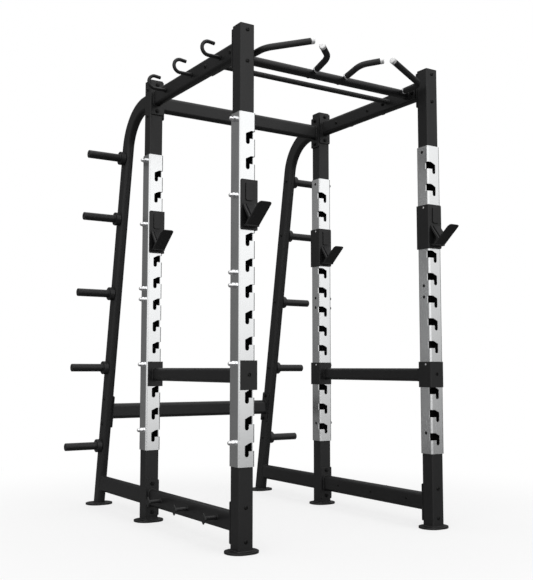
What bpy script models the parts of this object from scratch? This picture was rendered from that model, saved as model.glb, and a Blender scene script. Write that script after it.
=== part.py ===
"""Power cage: four slotted uprights, bolted beams, storage posts, pull-up bars, bar catches.

Metres, +Z up, the open front faces -Y, the floor is z = 0.
"""
import math

import bmesh
import bpy
from mathutils import Matrix, Vector

for old in list(bpy.data.objects):
    bpy.data.objects.remove(old, do_unlink=True)

# ---------------------------------------------------------------- dimensions
GAP = 0.0003                    # mating clearance between separate pieces
HEIGHT = 2.400                  # overall height
COL_X = 0.5735                  # upright centre, half of the width
MID_Y = -0.2856                 # middle of the four uprights
FRONT_Y = MID_Y - 0.48125       # front uprights, centre
REAR_Y = MID_Y + 0.48125        # rear uprights, centre
TUBE = 0.0375                   # upright, half of 75 mm
TUBE_R = 0.006
WALL = 0.003                    # wall of every tube
OVERLAP = 0.002                 # pieces joined into one solid reach this far into each other
CAP_T = 0.004                   # closed top of an upright
SLEEVE = 0.0425                 # slotted sleeve, half of 85 mm
SLEEVE_R = 0.009
SLEEVE_BOTTOM = 0.3760
SLEEVE_JOINT = 1.2120
SLEEVE_TOP = 1.9800
SLOT_FIRST = 0.4503             # centre of the lowest slot
SLOT_PITCH = 0.1176
SLOTS_LOWER = 7
SLOTS = 13
SEAT_R = 0.0105                 # slot seat radius
PIN_R = 0.0093                  # catch pin radius
SEAT_BOTTOM = -0.0308           # seat bottom under the slot centre
SLOT_CLEAR = 0.0006             # window behind a slot, wider than the slot by this
FOOT_T = 0.010
FOOT_L = 0.080                  # foot plate half length
FOOT_W = 0.065                  # foot plate half width
FOOT_HOLE_R, FOOT_HOLE_X = 0.0065, 0.060
CORNER_R = 0.006                # corners of the flat plates
PLATE_T = 0.008                 # end plates
PLATE_H = 0.0935                # end plate half height
BOLT_DZ = 0.0740                # end plate bolts above and below the beam
BOLT_R = 0.0068                 # bolt holes in uprights and their end plates
SMALL_BOLT_R = 0.0055           # bolt holes in the storage posts and the pull-up frame
ROD_BOLT_R = 0.0050             # bolt holes for hooks, studs and handles
DRAIN_R = 0.0040                # drain holes under the closed tubes
PEG_BOLT_R = 0.0062
TOP_Z = 2.298                   # side beams, centre height
BEAM_HX, BEAM_HZ, BEAM_R = 0.0225, 0.045, 0.020     # flat-oval beam tube
REAR_TOP_Z = 2.2760
LOW_Z = 0.1270                  # floor rails, centre height
POST_HX, POST_HD, POST_R = 0.0228, 0.0455, 0.020
LEAN = -0.1694                  # storage post, dy/dz
POST_Y0 = MID_Y + 1.1784        # storage post centre line at the floor
BEND_R = 0.2436                 # bend at the top of a storage post, and its centre
BEND_Y = MID_Y + 0.5831
BEND_Z = 2.0554
MID_Z = 0.5553                  # rear brace, centre height
BRACE_HW = 0.034                # its end plates, half width
BAR_PLATE_Y = MID_Y - 0.2745
BAR_PLATE_HY, BAR_PLATE_HZ = 0.145, 0.035
BAR_DY = 0.0742                 # bars either side of the shared end plate centre
THICK_R, THIN_R = 0.02275, 0.0136
PEG_Z = (2.0346, 1.6839, 1.2486, 0.8137, 0.3509)
PEG_R, PEG_END = 0.0225, 0.8140
COLLAR_R, COLLAR_T = 0.0385, 0.028
PEG_CHAMFER = 0.003
HOOK_DY = (-0.3000, -0.0050, 0.2920)
HOOK_R = 0.0090
HOOK_BEND = 0.0335              # radius of the hook's bend
HOOK_X = 0.660                  # centre of the bend
HOOK_TIP_X, HOOK_TIP_DROP = 0.626, 0.004
HOOK_COLLAR_R, HOOK_COLLAR_L = 0.013, 0.004
HOOK_Z = 2.2990
BAR_BOLT = 0.1215               # pull-up frame bolts from the plate centre
STUD_R, STUD_HEAD, STUD_Z, STUD_L = 0.0100, 0.0255, 0.1293, 0.074
STUD_HEAD_T = 0.006
CUP_BOTTOM, CUP_TOP = 1.4350, 1.6655
CUP_SLOTS = (10, 9)             # slots the two pins of a cup rest in
CATCH_BOTTOM, CATCH_TOP = 0.7150, 0.8467
CATCH_SLOT = 3
RAIL_BOTTOM, RAIL_TOP = 0.7445, 0.8128
RAIL_HX = 0.0155                # safety rail, half width
RAIL_DX = 0.004                 # its centre line, inward of the upright centre
CATCH_T = 0.008                 # catch plate thickness
CUP_OUT = 0.040                 # cup's front plate, outer edge from the upright centre
CATCH_OUT = 0.036               # the same on a safety
CUP_CORNER_R = 0.008            # outer corners of a cup's front plate
CATCH_BACK = 0.040              # catch side plate, rear edge from the upright centre
CATCH_R = 0.005                 # outside of the bend between the two plates
CRADLE_OUT, CRADLE_IN = 0.030, 0.037    # cradle's edges either side of the upright centre


def slot_z(k):
    return SLOT_FIRST + SLOT_PITCH * k


def pin_z(k):
    return slot_z(k) + SEAT_BOTTOM + PIN_R + GAP


def post_y(z):
    return POST_Y0 + LEAN * z


# ---------------------------------------------------------------- mesh helpers
def rounded(hx, hy, r, n=2):
    """Rounded rectangle outline, counter-clockwise."""
    pts = []
    for cx, cy, a0 in ((hx - r, hy - r, 0.0), (-hx + r, hy - r, 90.0),
                       (-hx + r, -hy + r, 180.0), (hx - r, -hy + r, 270.0)):
        for i in range(n + 1):
            a = math.radians(a0 + 90.0 * i / n)
            pts.append((cx + r * math.cos(a), cy + r * math.sin(a)))
    out = []
    for p in pts:
        if not out or math.hypot(p[0] - out[-1][0], p[1] - out[-1][1]) > 1e-5:
            out.append(p)
    if math.hypot(out[0][0] - out[-1][0], out[0][1] - out[-1][1]) < 1e-5:
        out.pop()
    return out


def circle(r, n, phase=0.0):
    pts = []
    for i in range(n):
        a = 2 * math.pi * (i + phase) / n
        pts.append((r * math.cos(a), r * math.sin(a)))
    return pts


def lift(pt, axis, a):
    if axis == "Z":
        return Vector((pt[0], pt[1], a))
    if axis == "Y":
        return Vector((pt[0], a, pt[1]))
    return Vector((a, pt[0], pt[1]))


def finish(bm, name):
    bmesh.ops.recalc_face_normals(bm, faces=bm.faces[:])
    if bm.calc_volume(signed=True) < 0:
        bmesh.ops.reverse_faces(bm, faces=bm.faces[:])
    mesh = bpy.data.meshes.new(name)
    bm.to_mesh(mesh)
    bm.free()
    ob = bpy.data.objects.new(name, mesh)
    bpy.context.collection.objects.link(ob)
    return ob


def loft(rings, close=False):
    """Closed solid from rings of equal size; capped unless it closes on itself."""
    bm = bmesh.new()
    vs = [[bm.verts.new(p) for p in ring] for ring in rings]
    n = len(vs[0])
    pairs = list(zip(vs, vs[1:]))
    if close:
        pairs.append((vs[-1], vs[0]))
    for a, b in pairs:
        for i in range(n):
            j = (i + 1) % n
            bm.faces.new((a[i], a[j], b[j], b[i]))
    if not close:
        bm.faces.new(list(reversed(vs[0])))
        bm.faces.new(vs[-1])
    return bm


def prism(pts, axis, a0, a1, name="tool", at=(0, 0)):
    pts = [(p[0] + at[0], p[1] + at[1]) for p in pts]
    return finish(loft([[lift(p, axis, a) for p in pts] for a in (a0, a1)]), name)


def pipe(outer, inner, axis, a0, a1, name, at=(0, 0)):
    """Open-ended tube with a wall."""
    o = [(p[0] + at[0], p[1] + at[1]) for p in outer]
    i = [(p[0] + at[0], p[1] + at[1]) for p in inner]
    rings = [[lift(p, axis, a) for p in loop] for loop, a in ((o, a0), (o, a1), (i, a1), (i, a0))]
    return finish(loft(rings, close=True), name)


def box(x0, x1, y0, y1, z0, z1, name="tool"):
    return prism([(x0, y0), (x1, y0), (x1, y1), (x0, y1)], "Z", z0, z1, name)


def cyl(r, n, axis, a0, a1, at, name="tool", phase=0.5):
    return prism(circle(r, n, phase), axis, a0, a1, name, at)


def obround(half_l, half_w, n=6):
    pts = []
    for side, a0 in ((1, -90.0), (-1, 90.0)):
        for i in range(n + 1):
            a = math.radians(a0 + 180.0 * i / n)
            pts.append((side * (half_l - half_w) + half_w * math.cos(a), half_w * math.sin(a)))
    return pts


def boolean(ob, others, operation):
    for other in others:
        mod = ob.modifiers.new("cut", "BOOLEAN")
        mod.operation = operation
        mod.solver = "EXACT"
        mod.object = other
        graph = bpy.context.evaluated_depsgraph_get()
        graph.update()
        mesh = bpy.data.meshes.new_from_object(ob.evaluated_get(graph))
        ob.modifiers.clear()
        ob.data = mesh
        bpy.data.objects.remove(other, do_unlink=True)
    return ob


def join(ob, *others):
    return boolean(ob, others, "UNION")


def cut(ob, *others):
    return boolean(ob, others, "DIFFERENCE")


def clean(ob):
    bm = bmesh.new()
    bm.from_mesh(ob.data)
    bmesh.ops.remove_doubles(bm, verts=bm.verts[:], dist=2e-6)
    bmesh.ops.dissolve_limit(bm, angle_limit=math.radians(0.2), verts=bm.verts[:], edges=bm.edges[:])
    bmesh.ops.triangulate(bm, faces=bm.faces[:])
    bm.to_mesh(ob.data)
    bm.free()
    return ob


def merged(tools):
    """Several separate cutters in one mesh."""
    bm = bmesh.new()
    for t in tools:
        bm.from_mesh(t.data)
        bpy.data.objects.remove(t, do_unlink=True)
    mesh = bpy.data.meshes.new("tools")
    bm.to_mesh(mesh)
    bm.free()
    ob = bpy.data.objects.new("tools", mesh)
    bpy.context.collection.objects.link(ob)
    return ob


def frames(path):
    """Tangents along a polyline."""
    out = []
    for i in range(len(path)):
        a = path[max(i - 1, 0)]
        b = path[min(i + 1, len(path) - 1)]
        if 0 < i < len(path) - 1:
            t = (path[i] - a).normalized() + (b - path[i]).normalized()
        else:
            t = b - a
        out.append(t.normalized())
    return out


def sweep_rings(path, r, n, up=Vector((0, 0, 1))):
    """Circle rings of one radius along a path."""
    tang = frames(path)
    first = tang[0]
    side = first.cross(up)
    if side.length < 1e-3:
        side = first.cross(Vector((0, 1, 0)))
    side.normalize()
    rings = []
    prev = first
    for p, t in zip(path, tang):
        rot = prev.rotation_difference(t)
        side = rot @ side
        side = (side - t * side.dot(t)).normalized()
        other = t.cross(side).normalized()
        prev = t
        rings.append([p + side * u + other * v for u, v in circle(r, n, 0.5)])
    return rings


def fillet_path(points, radius, n):
    """Polyline with its inner corners replaced by arcs."""
    out = [points[0]]
    for a, b, c in zip(points, points[1:], points[2:]):
        u = (a - b).normalized()
        v = (c - b).normalized()
        ang = u.angle(v)
        d = radius / math.tan(ang / 2)
        p0, p1 = b + u * d, b + v * d
        centre = b + (u + v).normalized() * (radius / math.sin(ang / 2))
        w0, w1 = p0 - centre, p1 - centre
        total = w0.angle(w1)
        for i in range(n + 1):
            s = i / n
            w = w0 * math.sin((1 - s) * total) + w1 * math.sin(s * total)
            out.append(centre + w / math.sin(total))
    out.append(points[-1])
    return out


# ---------------------------------------------------------------- uprights and sleeves
SLOT_TOP, SLOT_LIP = 0.0324, -0.0050    # mouth of a slot, top and bottom from its centre
SLOT_SHOULDER = 0.0187                  # height where the slanted upper edge starts
SLOT_SLANT_X = 0.0175                   # where the slanted edge reaches the top
SLOT_REACH = 0.060                      # the cut runs out past the sleeve's inner side
SLOT_DEPTH = 0.018


def slot_tool(side, y, k, grow=0.0):
    """Keyhole slot open toward the inside of the cage. side is -1 on the left.

    With grow it is the plain clearance window in the tube behind the sleeve.
    """
    z = slot_z(k)
    r = SEAT_R + grow
    top, lip = SLOT_TOP + grow, SLOT_LIP - grow
    if grow:
        low = SEAT_BOTTOM - grow
        v = [(-r, top), (-r, low), (r, low)]
    else:
        v = [(-r, SLOT_SHOULDER)]
        for i in range(5):
            a = math.pi + math.pi * i / 4
            q = r / math.cos(math.pi / 8) if 0 < i < 4 else r
            v.append((q * math.cos(a), SEAT_BOTTOM + r + q * math.sin(a)))
    v += [(r, lip), (SLOT_REACH, lip), (SLOT_REACH, top)]
    if not grow:
        v.append((SLOT_SLANT_X, top))
    pts = [(side * (COL_X - u), z + w) for u, w in v]
    return prism(pts, "Y", y - SLEEVE - 0.01, y - SLEEVE + SLOT_DEPTH + grow)


def foot(x, y, name="tool"):
    return prism(obround(FOOT_L, FOOT_W), "Z", 0.0, FOOT_T, name, at=(x, y))


def foot_holes(x, y):
    return [cyl(FOOT_HOLE_R, 6, "Z", -0.01, 0.03, (x + s * FOOT_HOLE_X, y)) for s in (-1, 1)]


def upright(name, side, y):
    """Square tube open at the floor and closed at the top, on its foot plate."""
    x = side * COL_X
    o = [(p[0] + x, p[1] + y) for p in rounded(TUBE, TUBE, TUBE_R, 1)]
    i = [(p[0] + x, p[1] + y) for p in rounded(TUBE - WALL, TUBE - WALL, TUBE_R - WALL, 1)]
    bm = bmesh.new()
    z0, z1, z2 = FOOT_T - OVERLAP, HEIGHT, HEIGHT - CAP_T
    ob_ = [bm.verts.new((p[0], p[1], z0)) for p in o]
    ot = [bm.verts.new((p[0], p[1], z1)) for p in o]
    ib = [bm.verts.new((p[0], p[1], z0)) for p in i]
    it = [bm.verts.new((p[0], p[1], z2)) for p in i]
    n = len(o)
    for a in range(n):
        b = (a + 1) % n
        bm.faces.new((ob_[a], ob_[b], ot[b], ot[a]))
        bm.faces.new((ib[b], ib[a], it[a], it[b]))
        bm.faces.new((ob_[b], ob_[a], ib[a], ib[b]))
    bm.faces.new(ot)
    bm.faces.new(list(reversed(it)))
    ob = finish(bm, name)
    join(ob, foot(x, y))
    tools = [slot_tool(side, y, k, SLOT_CLEAR) for k in range(SLOTS)] + foot_holes(x, y)
    for zc in (TOP_Z, LOW_Z):
        for s in (-1, 1):
            tools.append(cyl(BOLT_R, 6, "Y", y - 0.05, y + 0.05, (x, zc + s * BOLT_DZ)))
    cut(ob, merged(tools))
    return clean(ob)


def sleeve(name, side, y, z0, z1, slots):
    x = side * COL_X
    ob = pipe(rounded(SLEEVE, SLEEVE, SLEEVE_R, 2),
              rounded(TUBE + GAP, TUBE + GAP, TUBE_R, 2), "Z", z0, z1, name, at=(x, y))
    tools = [slot_tool(side, y, k) for k in slots]
    cut(ob, merged(tools))
    return clean(ob)


SIDES = (("left", -1), ("right", 1))
CORNERS = (("front_left", -1, FRONT_Y), ("front_right", 1, FRONT_Y),
           ("rear_left", -1, REAR_Y), ("rear_right", 1, REAR_Y))
for label, side, y in CORNERS:
    upright(label + "_upright", side, y)
    sleeve(label + "_lower_sleeve", side, y, SLEEVE_BOTTOM, SLEEVE_JOINT - GAP,
           range(SLOTS_LOWER))
    sleeve(label + "_upper_sleeve", side, y, SLEEVE_JOINT + GAP, SLEEVE_TOP,
           range(SLOTS_LOWER, SLOTS))


# ---------------------------------------------------------------- storage posts
def post_path():
    ang = math.atan(-LEAN)
    pts = [(post_y(FOOT_T - OVERLAP), FOOT_T - OVERLAP)]
    for i in range(7):
        a = ang + (math.pi / 2 - ang) * i / 6
        pts.append((BEND_Y + BEND_R * math.cos(a), BEND_Z + BEND_R * math.sin(a)))
    pts.append((REAR_Y + TUBE + GAP, BEND_Z + BEND_R))
    return pts


def post_rings(x, extra=0.0):
    """The post's flat-oval section along its path, grown or shrunk by extra."""
    path = post_path()
    sec = rounded(POST_HX + extra, POST_HD + extra, POST_R + extra, 2)
    rings = []
    for i, (y, z) in enumerate(path):
        if i == 0:
            d = Vector((0, LEAN, 1)).normalized()
        elif i == len(path) - 1:
            d = Vector((0, -1, 0))
        else:
            a = Vector((0, path[i][0] - path[i - 1][0], path[i][1] - path[i - 1][1])).normalized()
            b = Vector((0, path[i + 1][0] - path[i][0], path[i + 1][1] - path[i][1])).normalized()
            d = (a + b).normalized()
        e2 = Vector((0, d.z, -d.y))
        ring = [Vector((x, y, z)) + Vector((p[0], 0, 0)) + e2 * p[1] for p in sec]
        if i == 0:
            ring = [q + d * ((z - q.z) / d.z) for q in ring]
        rings.append(ring)
    return rings


def storage_post(name, side):
    x = side * COL_X
    wall = post_rings(x) + list(reversed(post_rings(x, -WALL)))
    ob = finish(loft(wall, close=True), name)
    join(ob, foot(x, post_y(0.0)))
    tools = [cyl(PEG_BOLT_R, 6, "X", x - 0.05, x + 0.05, (post_y(z), z)) for z in PEG_Z]
    tools += foot_holes(x, post_y(0.0))
    for s in (-1, 1):
        z = MID_Z + s * BOLT_DZ
        tools.append(cyl(SMALL_BOLT_R, 6, "X", x - 0.05, x + 0.05, (post_y(z), z)))
    cut(ob, merged(tools))
    return clean(ob)


def peg(name, side, z):
    """Collar against the post, then the peg with a chamfered end."""
    root = COL_X + POST_HX
    steps = ((root + GAP, COLLAR_R), (root + COLLAR_T, COLLAR_R), (root + COLLAR_T, PEG_R),
             (PEG_END - PEG_CHAMFER, PEG_R), (PEG_END, PEG_R - PEG_CHAMFER))
    rings = []
    for x, r in steps:
        rings.append([Vector((side * x, post_y(z) + u, z + v)) for u, v in circle(r, 14, 0.5)])
    return clean(finish(loft(rings), name))


for label, side in SIDES:
    storage_post(label + "_storage_post", side)
    for i, z in enumerate(PEG_Z):
        peg("%s_weight_peg_%d" % (label, i + 1), side, z)


# ---------------------------------------------------------------- beams
def end_plate(x, y0, y1, zc):
    return prism(rounded(TUBE, PLATE_H, CORNER_R, 1), "Y", y0, y1, at=(x, zc))


def oval(shrink=0.0, n=2):
    return rounded(BEAM_HX - shrink, BEAM_HZ - shrink, BEAM_R - shrink, n)


def band_stud(side, y):
    """Rod out of the floor rail with a square plate on its end, set on a corner."""
    x = side * (COL_X + BEAM_HX)
    head = []
    for i in range(4):
        a = math.radians(90 * i)
        head.append((y + STUD_HEAD * math.sin(a), STUD_Z + STUD_HEAD * math.cos(a)))
    rod = sorted((x - side * OVERLAP, x + side * (STUD_L - STUD_HEAD_T / 2)))
    plate = sorted((x + side * (STUD_L - STUD_HEAD_T), x + side * STUD_L))
    return [cyl(STUD_R, 10, "X", *rod, (y, STUD_Z)), prism(head, "X", *plate)]


def side_beam(name, side, zc, low):
    """Top beam or floor rail between a front and a rear upright."""
    x = side * COL_X
    ya, yb = FRONT_Y + TUBE + GAP, REAR_Y - TUBE - GAP
    ob = pipe(oval(), oval(WALL), "Y", ya + PLATE_T - OVERLAP, yb - PLATE_T + OVERLAP, name, at=(x, zc))
    join(ob, end_plate(x, ya, ya + PLATE_T, zc), end_plate(x, yb - PLATE_T, yb, zc))
    tools = []
    for y in (ya, yb):
        for s in (-1, 1):
            tools.append(cyl(BOLT_R, 6, "Y", y - 0.02, y + 0.02, (x, zc + s * BOLT_DZ)))
    if low:
        for dy in HOOK_DY:
            join(ob, *band_stud(side, MID_Y + dy))
            inner_wall = sorted((x - side * 0.05, x - side * 0.012))
            tools.append(cyl(ROD_BOLT_R, 6, "X", *inner_wall, (MID_Y + dy, STUD_Z)))
    else:
        for dy in HOOK_DY:
            tools.append(cyl(ROD_BOLT_R, 6, "X", x - 0.05, x + 0.05, (MID_Y + dy, HOOK_Z)))
        for s in (-1, 1):
            at = (BAR_PLATE_Y + s * BAR_BOLT, zc)
            tools.append(cyl(SMALL_BOLT_R, 6, "X", x - 0.05, x + 0.05, at))
    cut(ob, merged(tools))
    return clean(ob)


for label, side in SIDES:
    side_beam(label + "_top_beam", side, TOP_Z, False)
    side_beam(label + "_floor_rail", side, LOW_Z, True)


COPE_GAP = 0.0004               # clearance of the rear floor rail's coped end


def keep_front_piece(ob):
    """Of the loose pieces a cut left, keep the one nearest the front."""
    bm = bmesh.new()
    bm.from_mesh(ob.data)
    first = min(bm.verts, key=lambda v: v.co.y)
    seen, todo = {first}, [first]
    while todo:
        for e in todo.pop().link_edges:
            for v in e.verts:
                if v not in seen:
                    seen.add(v)
                    todo.append(v)
    bmesh.ops.delete(bm, geom=[v for v in bm.verts if v not in seen], context="VERTS")
    bm.to_mesh(ob.data)
    bm.free()


def rear_floor_rail(name, side):
    """From a rear upright to its storage post, coped to the post."""
    x = side * COL_X
    y0 = REAR_Y + TUBE + GAP
    rail = pipe(oval(), oval(WALL), "Y", y0, post_y(LOW_Z), name, at=(x, LOW_Z))
    cut(rail, finish(loft(post_rings(x, COPE_GAP)), "tool"))
    keep_front_piece(rail)
    cut(rail, cyl(DRAIN_R, 6, "Z", LOW_Z - 0.06, LOW_Z, (x, y0 + 0.04)))
    return clean(rail)


for label, side in SIDES:
    rear_floor_rail(label + "_rear_floor_rail", side)


def plate_outline(hw, cy, cz, tilt):
    c, s = math.cos(tilt), math.sin(tilt)
    pts = rounded(hw, PLATE_H, CORNER_R, 1)
    return [(cy + p[0] * c - p[1] * s, cz + p[0] * s + p[1] * c) for p in pts]


def cross_beam(name, xa, yc, zc, hw, tilt, bolt_r):
    """Beam across the cage with an end plate, tilted with its post, at each end."""
    reach = xa - PLATE_T + OVERLAP
    beam = pipe(oval(), oval(WALL), "X", -reach, reach, name, at=(yc, zc))
    tools = [cyl(DRAIN_R, 6, "Z", zc - 0.06, zc, (0.45, yc))]
    for s in (-1, 1):
        plate = sorted((s * xa, s * (xa - PLATE_T)))
        join(beam, prism(plate_outline(hw, yc, zc, tilt), "X", *plate))
        for t in (-1, 1):
            at = (yc - t * BOLT_DZ * math.tan(tilt), zc + t * BOLT_DZ)
            tools.append(cyl(bolt_r, 6, "X", s * xa - 0.02, s * xa + 0.02, at))
    cut(beam, merged(tools))
    return clean(beam)


cross_beam("rear_top_beam", COL_X - TUBE - GAP, REAR_Y, REAR_TOP_Z, TUBE, 0.0, BOLT_R)
cross_beam("rear_brace", COL_X - POST_HX - GAP, post_y(MID_Z), MID_Z, BRACE_HW,
           math.atan(-LEAN), SMALL_BOLT_R)

# ---------------------------------------------------------------- pull-up bars and handles
# bend points of an inner and an outer handle, x outward, y from the middle of the uprights
INNER = ((0.0939, -0.3745, 2.2985), (0.1010, -0.5060, 2.3360), (0.1925, -0.5790, 2.3540))
OUTER = ((0.4880, -0.3745, 2.2985), (0.4830, -0.5230, 2.3000), (0.2420, -0.5835, 2.3655))
INNER_BEND, OUTER_BEND = 0.080, 0.048
HANDLE_BEND_STEPS = 4
BOSS_R, BOSS_L = 0.0115, 0.022          # bosses on the thick bar
BOSS_ROOT = 0.0090                      # how far a boss reaches into the bar
GRIP_R, CORE_R = 0.0157, 0.0120
RING_R, RING_L = 0.0172, 0.008          # collar where a handle meets its boss
CAP_L, CAP_CHAMFER = 0.019, 0.0015      # cap on the free end


def bar_boss(side, pts):
    """Stub on the thick bar that a handle screws onto."""
    p, q = (Vector((side * c[0], MID_Y + c[1], c[2])) for c in pts[:2])
    d = (q - p).normalized()
    ends = [p - d * BOSS_ROOT, p + d * (BOSS_L - GAP)]
    return finish(loft(sweep_rings(ends, BOSS_R, 10)), "boss")


def pull_up_bar(xa):
    """Thick bar with the two end plates it shares with the thin bar, and four bosses."""
    y = BAR_PLATE_Y - BAR_DY
    reach = xa - PLATE_T + OVERLAP
    bar = pipe(circle(THICK_R, 16, 0.5), circle(THICK_R - WALL, 16, 0.5), "X", -reach, reach,
               "pull_up_bar", at=(y, TOP_Z))
    tools = []
    for s in (-1, 1):
        plate = sorted((s * xa, s * (xa - PLATE_T)))
        outline = rounded(BAR_PLATE_HY, BAR_PLATE_HZ, CORNER_R, 1)
        join(bar, prism(outline, "X", *plate, at=(BAR_PLATE_Y, TOP_Z)))
        for t in (-1, 1):
            at = (BAR_PLATE_Y + t * BAR_BOLT, TOP_Z)
            tools.append(cyl(SMALL_BOLT_R, 6, "X", s * xa - 0.02, s * xa + 0.02, at))
        for pts in (INNER, OUTER):
            join(bar, bar_boss(s, pts))
            tools.append(cyl(ROD_BOLT_R, 6, "Y", y, y + 0.03, (s * pts[0][0], TOP_Z)))
    cut(bar, merged(tools))
    return clean(bar)


def knurled_bar(xb):
    at = (BAR_PLATE_Y + BAR_DY, TOP_Z)
    return clean(pipe(circle(THIN_R, 12, 0.5), circle(THIN_R - WALL, 12, 0.5), "X", -xb, xb,
                      "knurled_bar", at=at))


def handle(label, side, pts, bend):
    """Steel core with a collar at the bar and a cap at the free end, and its rubber grip."""
    pts = [Vector((side * p[0], MID_Y + p[1], p[2])) for p in pts]
    path = fillet_path(pts, bend, HANDLE_BEND_STEPS)
    d0 = (path[1] - path[0]).normalized()
    d1 = (path[-1] - path[-2]).normalized()
    start, end = path[0] + d0 * BOSS_L, path[-1]
    stations = [start, start + d0 * RING_L, *path[1:-1], end - d1 * CAP_L, end]
    unit = sweep_rings(stations, 1.0, 8)
    last = len(stations) - 1
    bent = range(2, last - 1)

    def ring(index, r, centre=None):
        at = stations[index]
        middle = at if centre is None else centre
        return [middle + (q - at) * r for q in unit[index]]

    core = [ring(0, RING_R), ring(1, RING_R), ring(1, CORE_R)]
    core += [ring(i, CORE_R) for i in bent]
    core += [ring(last - 1, CORE_R), ring(last - 1, GRIP_R)]
    core += [ring(last, GRIP_R, end - d1 * CAP_CHAMFER), ring(last, GRIP_R - CAP_CHAMFER)]
    clean(finish(loft(core), label + "_handle"))

    def tube(r):
        first = ring(1, r, start + d0 * (RING_L + GAP))
        final = ring(last - 1, r, end - d1 * (CAP_L + GAP))
        return [first] + [ring(i, r) for i in bent] + [final]

    wall = tube(GRIP_R) + list(reversed(tube(CORE_R + GAP)))
    clean(finish(loft(wall, close=True), label + "_grip"))


plate_x = COL_X - BEAM_HX - GAP
pull_up_bar(plate_x)
knurled_bar(plate_x - PLATE_T - GAP)
for label, side in SIDES:
    handle("inner_" + label, side, INNER, INNER_BEND)
    handle("outer_" + label, side, OUTER, OUTER_BEND)

# ---------------------------------------------------------------- accessory hooks on the top beams
def accessory_hook(name, side, dy):
    """Rod out of the top beam, bent up and back into an open hook, with a collar at its root."""
    x0 = COL_X + BEAM_HX + GAP
    cz = HOOK_Z + HOOK_BEND
    pts = [(x0, HOOK_Z), (x0 + HOOK_COLLAR_L, HOOK_Z), (HOOK_X, HOOK_Z)]
    for k in range(1, 8):
        a = math.radians(-90 + 180 * k / 7)
        pts.append((HOOK_X + HOOK_BEND * math.cos(a), cz + HOOK_BEND * math.sin(a)))
    pts.append((HOOK_TIP_X, HOOK_Z + 2 * HOOK_BEND - HOOK_TIP_DROP))
    path = [Vector((side * p[0], MID_Y + dy, p[1])) for p in pts]
    unit = sweep_rings(path, 1.0, 6, up=Vector((0, 1, 0)))
    steps = [(0, HOOK_COLLAR_R), (1, HOOK_COLLAR_R)] + [(j, HOOK_R) for j in range(1, len(path))]
    rings = [[path[j] + (q - path[j]) * r for q in unit[j]] for j, r in steps]
    return clean(finish(loft(rings), name))


for label, side in SIDES:
    for i, dy in enumerate(HOOK_DY):
        accessory_hook("%s_accessory_hook_%d" % (label, i + 1), side, dy)


# ---------------------------------------------------------------- bar catches
def catch_profile(side, y, out):
    """Front plate with an inner side plate, outline in X-Y."""
    n = SLEEVE + GAP
    o = n + CATCH_T
    pts = [(-out, -n), (-out, -o)]
    for i in range(4):
        a = math.radians(-90 + 90 * i / 3)
        pts.append((o - CATCH_R + CATCH_R * math.cos(a), -o + CATCH_R + CATCH_R * math.sin(a)))
    pts += [(o, CATCH_BACK), (n, CATCH_BACK), (n, -n)]
    return [(side * COL_X - side * u, y + v) for u, v in pts]


def pin(side, y, k):
    """Pin in the back of a front plate, resting in slot k."""
    face = y - SLEEVE
    return cyl(PIN_R, 12, "Y", face - GAP - CATCH_T / 2, face + 0.016, (side * COL_X, pin_z(k)), phase=0.0)


SIDE_HOLE_R, SIDE_HOLE_DY, SIDE_HOLE_DROP = 0.0055, -0.0130, 0.0140


def side_hole(side, y, top):
    """Hole in the side plate of a catch, just under its top edge."""
    face = COL_X - SLEEVE
    a, b = sorted((side * (face + 0.002), side * (face - 0.02)))
    return cyl(SIDE_HOLE_R, 8, "X", a, b, (y + SIDE_HOLE_DY, top - SIDE_HOLE_DROP))


# cradle of a J cup, points as (distance out from the plate, height)
ARM_TOP, ARM_FOOT = (0.0, 1.5560), (0.0560, 1.4840)
LIP_FOOT, LIP_TOP = (0.0600, 1.4830), (0.1340, 1.5430)
CRADLE = ((-0.003, 1.5600), ARM_TOP, ARM_FOOT, LIP_FOOT, LIP_TOP, (0.1390, 1.5440), (0.1400, 1.5390),
          (0.0340, 1.4528), (0.0340, 1.4465), (-0.003, 1.4465))
CRADLE_HOLE = ((0.0, 1.5405), (0.0450, 1.4820), (0.0450, 1.4780), (0.0215, 1.4545), (0.0, 1.4545))
# corner cut off each side of the lip's tip, points as (distance in from the edge, height)
LIP_CORNER = ((0.013, 1.560), (-0.01, 1.560), (-0.01, 1.5320), (0.0, 1.5320), (0.00455, 1.5400))
PAD_HX, PAD_HZ, PAD_R, PAD_Z, PAD_T = 0.0195, 0.0425, 0.008, 1.6095, 0.006
PAD_DX = 0.0035                 # its centre, inward of the upright centre
LINER_HX, LINER_T = 0.0210, 0.0055
LINER_ARM_END, LINER_LIP_END = 0.0065, 0.004     # the liner stops short of the cradle's ends
LINER_LIFT = 0.0006             # keeps it clear of the chamfer between arm and lip


def cup_plate_y(y):
    return y - SLEEVE - GAP - CATCH_T


def cradle(side, y):
    """V-shaped bar rest: rear arm, lip and the foot they share with the plate."""
    f = cup_plate_y(y)
    x = side * COL_X
    xs = sorted((x + side * CRADLE_OUT, x - side * CRADLE_IN))
    ob = prism([(f - d, z) for d, z in CRADLE], "X", *xs)
    cut(ob, prism([(f - d, z) for d, z in CRADLE_HOLE], "X", x - 0.05, x + 0.05))
    corners = []
    for s, edge in zip((-1, 1), xs):
        outline = [(edge - s * u, z) for u, z in LIP_CORNER]
        corners.append(prism(outline, "Y", f - 0.17, f - 0.105))
    return cut(ob, merged(corners))


def plate_corner(side, y, z, up):
    """Cuts an outer corner of a cup's front plate round; up is 1 at the top, -1 at the bottom."""
    r = CUP_CORNER_R
    edge = COL_X + CUP_OUT
    pts = [(edge + 0.01, z - up * r), (edge + 0.01, z + up * 0.01), (edge - r, z + up * 0.01)]
    for i in range(4):
        a = math.radians(90 - 30 * i)
        pts.append((edge - r + r * math.cos(a), z - up * (r - r * math.sin(a))))
    outline = [(side * u, v) for u, v in pts]
    return prism(outline, "Y", cup_plate_y(y) - 0.01, y - SLEEVE)


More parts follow.
